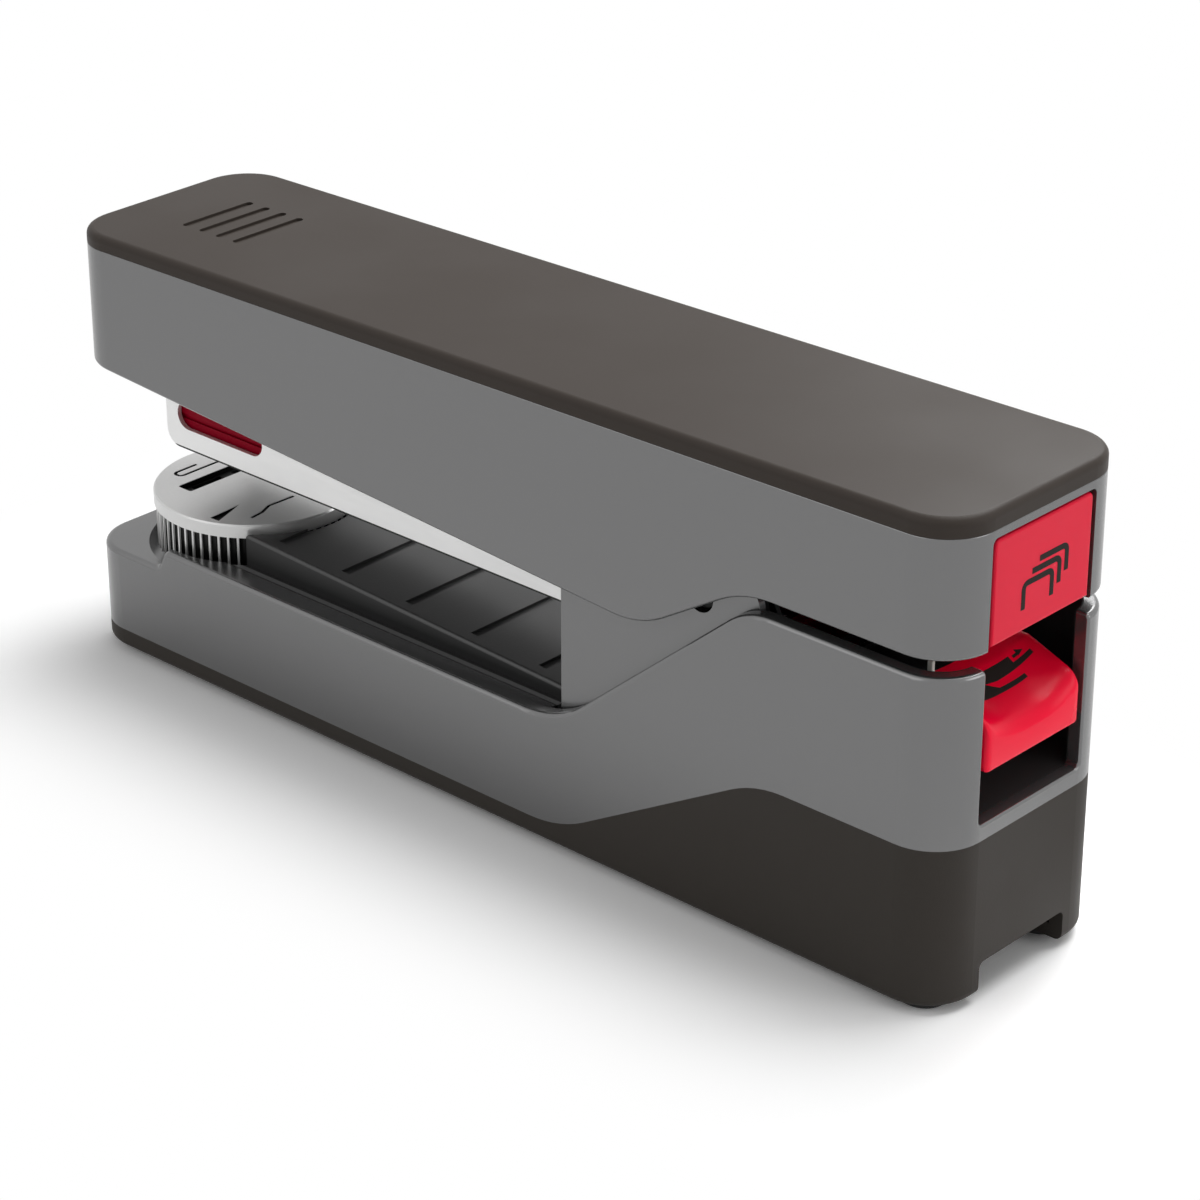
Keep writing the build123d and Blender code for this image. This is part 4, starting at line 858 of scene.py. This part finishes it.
class STAPLER_OT_thumb_lever(StaplerOperator, bpy.types.Operator):
    """Model the thumb lever with its dished, rounded end"""

    bl_idname = "stapler.thumb_lever"
    bl_label = "Thumb Lever"

    def execute(self, context):
        sizes = context.scene.stapler_sizes
        colours = context.scene.stapler_colours
        work = bmesh.new()
        across = self.raise_block(work, LEVER_HIGH.y - sizes.lever_round)
        self.round_sides(work, sizes.lever_round)
        bmesh.ops.subdivide_edges(work, edges=across, cuts=LEVER_CUTS, use_grid_fill=True)
        for step in range(LEVER_SLICES):
            slice_mesh(work, (LEVER_HIGH.x - (1 + step) * MM, 0, 0), (1, 0, 0))
        self.press_dish(work, sizes)
        red = gloss_red("lever red", colours.lever)
        # Painted shade on the lever's arm, where it runs in under the handle
        arm = {
            "Straight_length": EVERYWHERE,
            "Straight_width": EVERYWHERE,
            "To_X": LEVER_HIGH.x - LEVER_ARM_END,
        }
        material = darken(red, colours.inside, inner_mask(), **arm)
        finish_piece(work, "thumb_lever", "lever", material, ("release_lever",))
        return {"FINISHED"}

    def raise_block(self, work, flat):
        """Raise the side outline, with its bore, to both sides, and return the edges that run across."""
        pin = (LEVER_PIN_LOW + LEVER_PIN_HIGH) / 2
        hub = pin.x - LEVER_LOW.x
        bore = (LEVER_PIN_HIGH.z - LEVER_PIN_LOW.z) / 2 * LEVER_BORE_FIT
        rear, low = LEVER_HIGH.x, LEVER_LOW.z
        seat = low + LEVER_SEAT_RISE
        sole = (rear - LEVER_SOLE_FRONT, low + LEVER_SOLE_ROUND)
        heel = (rear - LEVER_HEEL_ROUND, low + LEVER_HEEL_ROUND)
        brow = (rear - LEVER_BROW_ROUND, low + LEVER_BROW_RISE)
        outline = [
            *arc_points((pin.x, pin.z), hub, 90, 270, 12),
            (rear - LEVER_SEAT_FRONT, seat),
            (rear - LEVER_SEAT_REAR, seat),
            *arc_points(sole, LEVER_SOLE_ROUND, 225, 270, 3),
            *arc_points(heel, LEVER_HEEL_ROUND, 270, 360, 4),
            *arc_points(brow, LEVER_BROW_ROUND, 0, LEVER_BROW_SWEEP, 10),
            (rear - LEVER_CREST_FRONT, LEVER_HIGH.z - LEVER_CREST_DROP),
        ]
        loop_of(work, [(x, -flat, z) for x, z in outline])
        loop_of(work, [(x, -flat, z) for x, z in arc_points((pin.x, pin.z), bore, 0, 345, 23)])
        side = bmesh.ops.triangle_fill(work, edges=work.edges[:], use_beauty=True, use_dissolve=False)
        extrude_faces(work, only(BMFace, side["geom"]), Vector((0, 2 * flat, 0)))
        return [edge for edge in work.edges if abs(edge.verts[0].co.y - edge.verts[1].co.y) > flat]

    def round_sides(self, work, size):
        """Round the edges of both side faces, in three steps."""
        bmesh.ops.recalc_face_normals(work, faces=work.faces)
        caps = [face for face in work.faces if abs(face.normal.y) > 0.9]
        turns = [radians(angle) for angle in (0, 30, 60, 90)]
        for first, last in zip(turns, turns[1:]):
            bmesh.ops.inset_region(
                work,
                faces=caps,
                thickness=size * (cos(first) - cos(last)),
                depth=size * (sin(last) - sin(first)),
                use_even_offset=True,
                use_boundary=True,
            )

    def press_dish(self, work, sizes):
        """Sink the top towards the rear end, between the side rims."""
        for vert in work.verts:
            level = smooth_step((vert.co.z - LEVER_LOW.z - DISH_FOOT) / DISH_RISE)
            along = 1 - smooth_step((LEVER_HIGH.x - vert.co.x) / sizes.dish_length)
            across = max(0, 1 - abs(vert.co.y / sizes.dish_half) ** DISH_SQUARENESS)
            vert.co.z -= sizes.scoop_depth * level * along * across


class STAPLER_OT_button_mark(StaplerOperator, bpy.types.Operator):
    """Print three nested staples on the load button"""

    bl_idname = "stapler.button_mark"
    bl_label = "Button Mark"

    def execute(self, context):
        sizes = context.scene.stapler_sizes
        foot = Vector((BUTTON_HIGH.x + sizes.mark_relief, MARK_FOOT_Y, MARK_FOOT_Z))
        leg = ("run", MARK_LEG - MARK_BEND)
        bend = ("turn", MARK_BEND, -90)
        crown = ("run", MARK_SPAN - 2 * MARK_BEND)
        half_crown = ("run", MARK_SPAN - MARK_BEND - MARK_HIDDEN)
        work = bmesh.new()
        stroke(work, foot, (0, 0, 1), sizes.mark_line, [leg, bend, crown, bend, leg])
        for copy in range(1, MARK_COPIES):
            start = foot + MARK_STEP * copy + Vector((0, MARK_HIDDEN, MARK_LEG))
            stroke(work, start, (0, 1, 0), sizes.mark_line, [half_crown, bend, leg])
        bmesh.ops.remove_doubles(work, verts=work.verts, dist=WELD)
        extrude_faces(work, work.faces[:], Vector((-MARK_DEPTH, 0, 0)))
        material = printed_ink(context.scene.stapler_colours)
        finish_piece(work, "button_mark", "load_button", material)
        return {"FINISHED"}


class STAPLER_OT_lever_mark(StaplerOperator, bpy.types.Operator):
    """Print a plain stapler with an arrow on the thumb lever"""

    bl_idname = "stapler.lever_mark"
    bl_label = "Lever Mark"

    def execute(self, context):
        sizes = context.scene.stapler_sizes
        rear = LEVER_HIGH.x
        surface = BVHTree.FromObject(bpy.data.objects["thumb_lever"], context.evaluated_depsgraph_get())
        work = bmesh.new()
        for outline in LEVER_MARK:
            edges = loop_of(work, [(rear - inwards * MM, across * MM, 0) for inwards, across in outline])
            bmesh.ops.triangle_fill(work, edges=edges, use_beauty=True, use_dissolve=False)
        for step in range(-12, 18):
            slice_mesh(work, (0, step * LEVER_MARK_GRID, 0), (0, 1, 0), WELD)
            slice_mesh(work, (rear - step * LEVER_MARK_GRID, 0, 0), (1, 0, 0), WELD)
        for vert in work.verts:
            hit = surface.ray_cast(Vector((vert.co.x, vert.co.y, 1)), Vector((0, 0, -1)))[0]
            vert.co.z = hit.z + sizes.mark_relief
        extrude_faces(work, work.faces[:], Vector((0, 0, -MARK_DEPTH)))
        finish_piece(work, "lever_mark", "lever", bpy.data.materials["printed mark"])
        return {"FINISHED"}


class STAPLER_OT_button_guides(StaplerOperator, bpy.types.Operator):
    """Stand a rib in the painted shade tint behind the slit on each side of the load button"""

    bl_idname = "stapler.button_guides"
    bl_label = "Button Guides"

    def execute(self, context):
        width = context.scene.stapler_sizes.guide_width
        # Painted shade: the ribs fill the slits with the dark inside tint
        material = moulded("guide black", context.scene.stapler_colours.inside, rough=(0.60, 0.70))
        size = (RIB_LENGTH, width, BUTTON_HIGH.z - BUTTON_LOW.z - RIB_SHORTER)
        middle = Vector((BUTTON_HIGH.x - RIB_INWARDS, 0, (BUTTON_LOW.z + BUTTON_HIGH.z) / 2))
        offset = Vector((0, BUTTON_HIGH.y + RIB_GAP + width / 2, 0))
        work = bmesh.new()
        for spot in (middle - offset, middle + offset):
            add_block(work, spot, size)
        finish_piece(work, "button_guides", "handle", material)
        return {"FINISHED"}


class STAPLER_OT_guide_strip(StaplerOperator, bpy.types.Operator):
    """Stand a thin pale strip beside the lever"""

    bl_idname = "stapler.guide_strip"
    bl_label = "Guide Strip"

    def execute(self, context):
        thick = context.scene.stapler_sizes.strip_thickness
        height = BASE_HIGH.z - GUIDE_TOP_GAP - GUIDE_FOOT
        middle = (LEVER_HIGH.x - GUIDE_INWARDS, LEVER_LOW.y - GUIDE_OUTWARDS, GUIDE_FOOT + height / 2)
        work = bmesh.new()
        add_block(work, middle, (thick, thick, height))
        bmesh.ops.bevel(
            work, geom=work.edges[:], offset=GUIDE_EDGE, segments=2, profile=0.5, affect="EDGES", material=-1
        )
        finish_piece(work, "guide_strip", "base", slot_material("nylon"))
        return {"FINISHED"}


class STAPLER_OT_staple_row(StaplerOperator, bpy.types.Operator):
    """Model the strip as a row of separate staples"""

    bl_idname = "stapler.staple_row"
    bl_label = "Staple Row"

    def execute(self, context):
        sizes = context.scene.stapler_sizes
        wire = sizes.staple_wire
        pitch = (STRIP_HIGH.x - STRIP_LOW.x) / sizes.staple_count
        leg = ("run", STRIP_HIGH.z - STRIP_LOW.z - wire * 1.5)
        bend = ("turn", wire, -90)
        crown = ("run", STRIP_HIGH.y - STRIP_LOW.y - wire * 3)
        start = Vector((STRIP_LOW.x + STAPLE_PLAY, STRIP_LOW.y + wire / 2, STRIP_LOW.z))
        work = bmesh.new()
        stroke(work, start, (0, 0, 1), wire, [leg, bend, crown, bend, leg])
        bmesh.ops.remove_doubles(work, verts=work.verts, dist=WELD)
        extrude_faces(work, work.faces[:], Vector((pitch - STAPLE_GAP, 0, 0)))
        single = all_of(work)
        for index in range(1, sizes.staple_count):
            copy = bmesh.ops.duplicate(work, geom=single)
            bmesh.ops.translate(work, verts=only(BMVert, copy["geom"]), vec=(pitch * index, 0, 0))
        material = slot_material("staple_wire")
        finish_piece(work, "staple_row", "drawer", material, ("staple_strip",))
        return {"FINISHED"}


class STAPLER_OT_springs(StaplerOperator, bpy.types.Operator):
    """Wind each spring as a coil with a mesh of its own"""

    bl_idname = "stapler.springs"
    bl_label = "Springs"

    def execute(self, context):
        material = slot_material("spring_steel")
        for spring in SPRINGS:
            low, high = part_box(spring.node)
            along = Vector((spring.along == "x", 0, spring.along == "z"))
            across = Vector((spring.along == "z", 0, spring.along == "x"))
            outer = (high - low).dot(across) / 2
            rise = (high - low).dot(along)
            middle = (low + high) / 2
            offset = high.y - outer
            work = bmesh.new()
            for side in (-1, 1) if offset > outer else (0,):
                start = middle - along * (rise / 2) + Vector((0, side * offset, 0))
                wind(work, start, along, outer - spring.wire, spring.wire, rise, spring.turns)
            piece = finish_piece(work, spring.piece, spring.body, material, (spring.node,))
            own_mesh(piece)
        return {"FINISHED"}


class STAPLER_OT_stage(StaplerOperator, bpy.types.Operator):
    """Set the floor, the lamps, the sky and the camera"""

    bl_idname = "stapler.stage"
    bl_label = "Stage"

    def execute(self, context):
        stage = context.scene.stapler_stage
        self.lay_floor(context.scene)
        for lamp in LAMPS:
            self.hang_lamp(context.scene, lamp, getattr(stage, lamp.setting))
        self.set_sky(context.scene, stage.sky)
        self.aim_camera(context.scene, stage)
        context.scene.view_settings.view_transform = "Standard"
        return {"FINISHED"}

    def lay_floor(self, scene):
        """A floor that keeps the shadow near the stapler and is plain white further away."""
        work = bmesh.new()
        bmesh.ops.create_grid(work, x_segments=1, y_segments=1, size=FLOOR_HALF)
        mesh = bpy.data.meshes.new("floor")
        work.to_mesh(mesh)
        work.free()
        mesh.materials.append(self.floor_finish())
        floor = bpy.data.objects.new("floor", mesh)
        scene.collection.objects.link(floor)

    def floor_finish(self):
        """Plain pale floor for the light, and a lighter one for the rays that show it."""
        material, tree, shader = new_material("pale floor")
        tree.nodes.remove(shader)
        plain, seen = (tree.nodes.new("ShaderNodeBsdfDiffuse") for layer in range(2))
        for node, level in ((plain, FLOOR_LEVEL), (seen, FLOOR_SEEN_LEVEL)):
            node.inputs["Color"].default_value = (level, level, level, 1)
        white = tree.nodes.new("ShaderNodeEmission")
        fade = place_group(
            tree,
            floor_fade(),
            Half_length=BASE_HIGH.x,
            Half_width=BASE_HIGH.y,
            Start=FLOOR_FADE_START,
            End=FLOOR_FADE_END,
        )
        away = self.mix_shaders(
            tree, fade.outputs["Fade"], seen.outputs["BSDF"], white.outputs["Emission"]
        )
        surface = self.mix_shaders(tree, seen_ray(tree), plain.outputs["BSDF"], away)
        tree.links.new(surface, tree.nodes["Material Output"].inputs["Surface"])
        return material

    def mix_shaders(self, tree, factor, first, second):
        """Blend two shaders by a factor."""
        mix = tree.nodes.new("ShaderNodeMixShader")
        tree.links.new(factor, mix.inputs["Fac"])
        tree.links.new(first, mix.inputs[1])
        tree.links.new(second, mix.inputs[2])
        return mix.outputs["Shader"]

    def hang_lamp(self, scene, lamp, strength):
        """Hang one softbox."""
        name = f"{lamp.setting}_lamp"
        light = bpy.data.lights.new(name, "AREA")
        light.shape = "RECTANGLE"
        light.size, light.size_y = lamp.size
        light.spread = lamp.spread
        light.energy = strength
        holder = bpy.data.objects.new(name, light)
        self.aim(holder, lamp.spot, lamp.target)
        holder.visible_camera = False
        scene.collection.objects.link(holder)

    def set_sky(self, scene, strength):
        """Even light from all round, which shows as white."""
        scene.world = bpy.data.worlds.new("studio sky")
        scene.world.use_nodes = True
        tree = scene.world.node_tree
        tree.nodes.clear()
        light, white = (tree.nodes.new("ShaderNodeBackground") for layer in range(2))
        for node, level in ((light, strength), (white, 1.0)):
            node.inputs["Color"].default_value = (1, 1, 1, 1)
            node.inputs["Strength"].default_value = level
        sky = self.mix_shaders(tree, seen_ray(tree), light.outputs["Background"], white.outputs["Background"])
        tree.links.new(sky, tree.nodes.new("ShaderNodeOutputWorld").inputs["Surface"])

    def aim_camera(self, scene, stage):
        """Set the camera."""
        lens = bpy.data.cameras.new("camera")
        lens.lens = stage.lens
        lens.sensor_width = SENSOR_WIDTH
        lens.clip_start = NEAREST_SEEN
        holder = bpy.data.objects.new("camera", lens)
        self.aim(holder, stage.camera, stage.target)
        scene.collection.objects.link(holder)
        scene.camera = holder

    def aim(self, holder, spot, target):
        """Stand a lamp or a camera at a spot and turn it to a target."""
        holder.location = spot
        holder.rotation_euler = (Vector(target) - Vector(spot)).to_track_quat("-Z", "Y").to_euler()


OPERATORS = (
    STAPLER_OT_paint,
    STAPLER_OT_thumb_lever,
    STAPLER_OT_button_mark,
    STAPLER_OT_lever_mark,
    STAPLER_OT_button_guides,
    STAPLER_OT_guide_strip,
    STAPLER_OT_staple_row,
    STAPLER_OT_springs,
    STAPLER_OT_stage,
)


class STAPLER_PT_finish(bpy.types.Panel):
    """Sidebar panel with the stapler's steps and settings"""

    bl_idname = "STAPLER_PT_finish"
    bl_label = "Desk Stapler"
    bl_space_type = "VIEW_3D"
    bl_region_type = "UI"
    bl_category = "Stapler"

    def draw(self, context):
        scene = context.scene
        for operator in OPERATORS:
            self.layout.operator(operator.bl_idname)
        for settings in (scene.stapler_sizes, scene.stapler_colours, scene.stapler_stage):
            box = self.layout.box()
            for label in settings.bl_rna.properties.keys():
                if label not in ("rna_type", "name"):
                    box.prop(settings, label)


CLASSES = (StaplerColours, StaplerSizes, StaplerStage, *OPERATORS, STAPLER_PT_finish)


def register():
    for item in CLASSES:
        bpy.utils.register_class(item)
    bpy.types.Scene.stapler_colours = PointerProperty(type=StaplerColours)
    bpy.types.Scene.stapler_sizes = PointerProperty(type=StaplerSizes)
    bpy.types.Scene.stapler_stage = PointerProperty(type=StaplerStage)


def unregister():
    del bpy.types.Scene.stapler_stage
    del bpy.types.Scene.stapler_sizes
    del bpy.types.Scene.stapler_colours
    for item in reversed(CLASSES):
        bpy.utils.unregister_class(item)


def main():
    register()
    bpy.ops.stapler.paint()
    bpy.ops.stapler.thumb_lever()
    bpy.ops.stapler.button_mark()
    bpy.ops.stapler.lever_mark()
    bpy.ops.stapler.button_guides()
    bpy.ops.stapler.guide_strip()
    bpy.ops.stapler.staple_row()
    bpy.ops.stapler.springs()
    bpy.ops.stapler.stage()


if __name__ == "__main__":
    main()
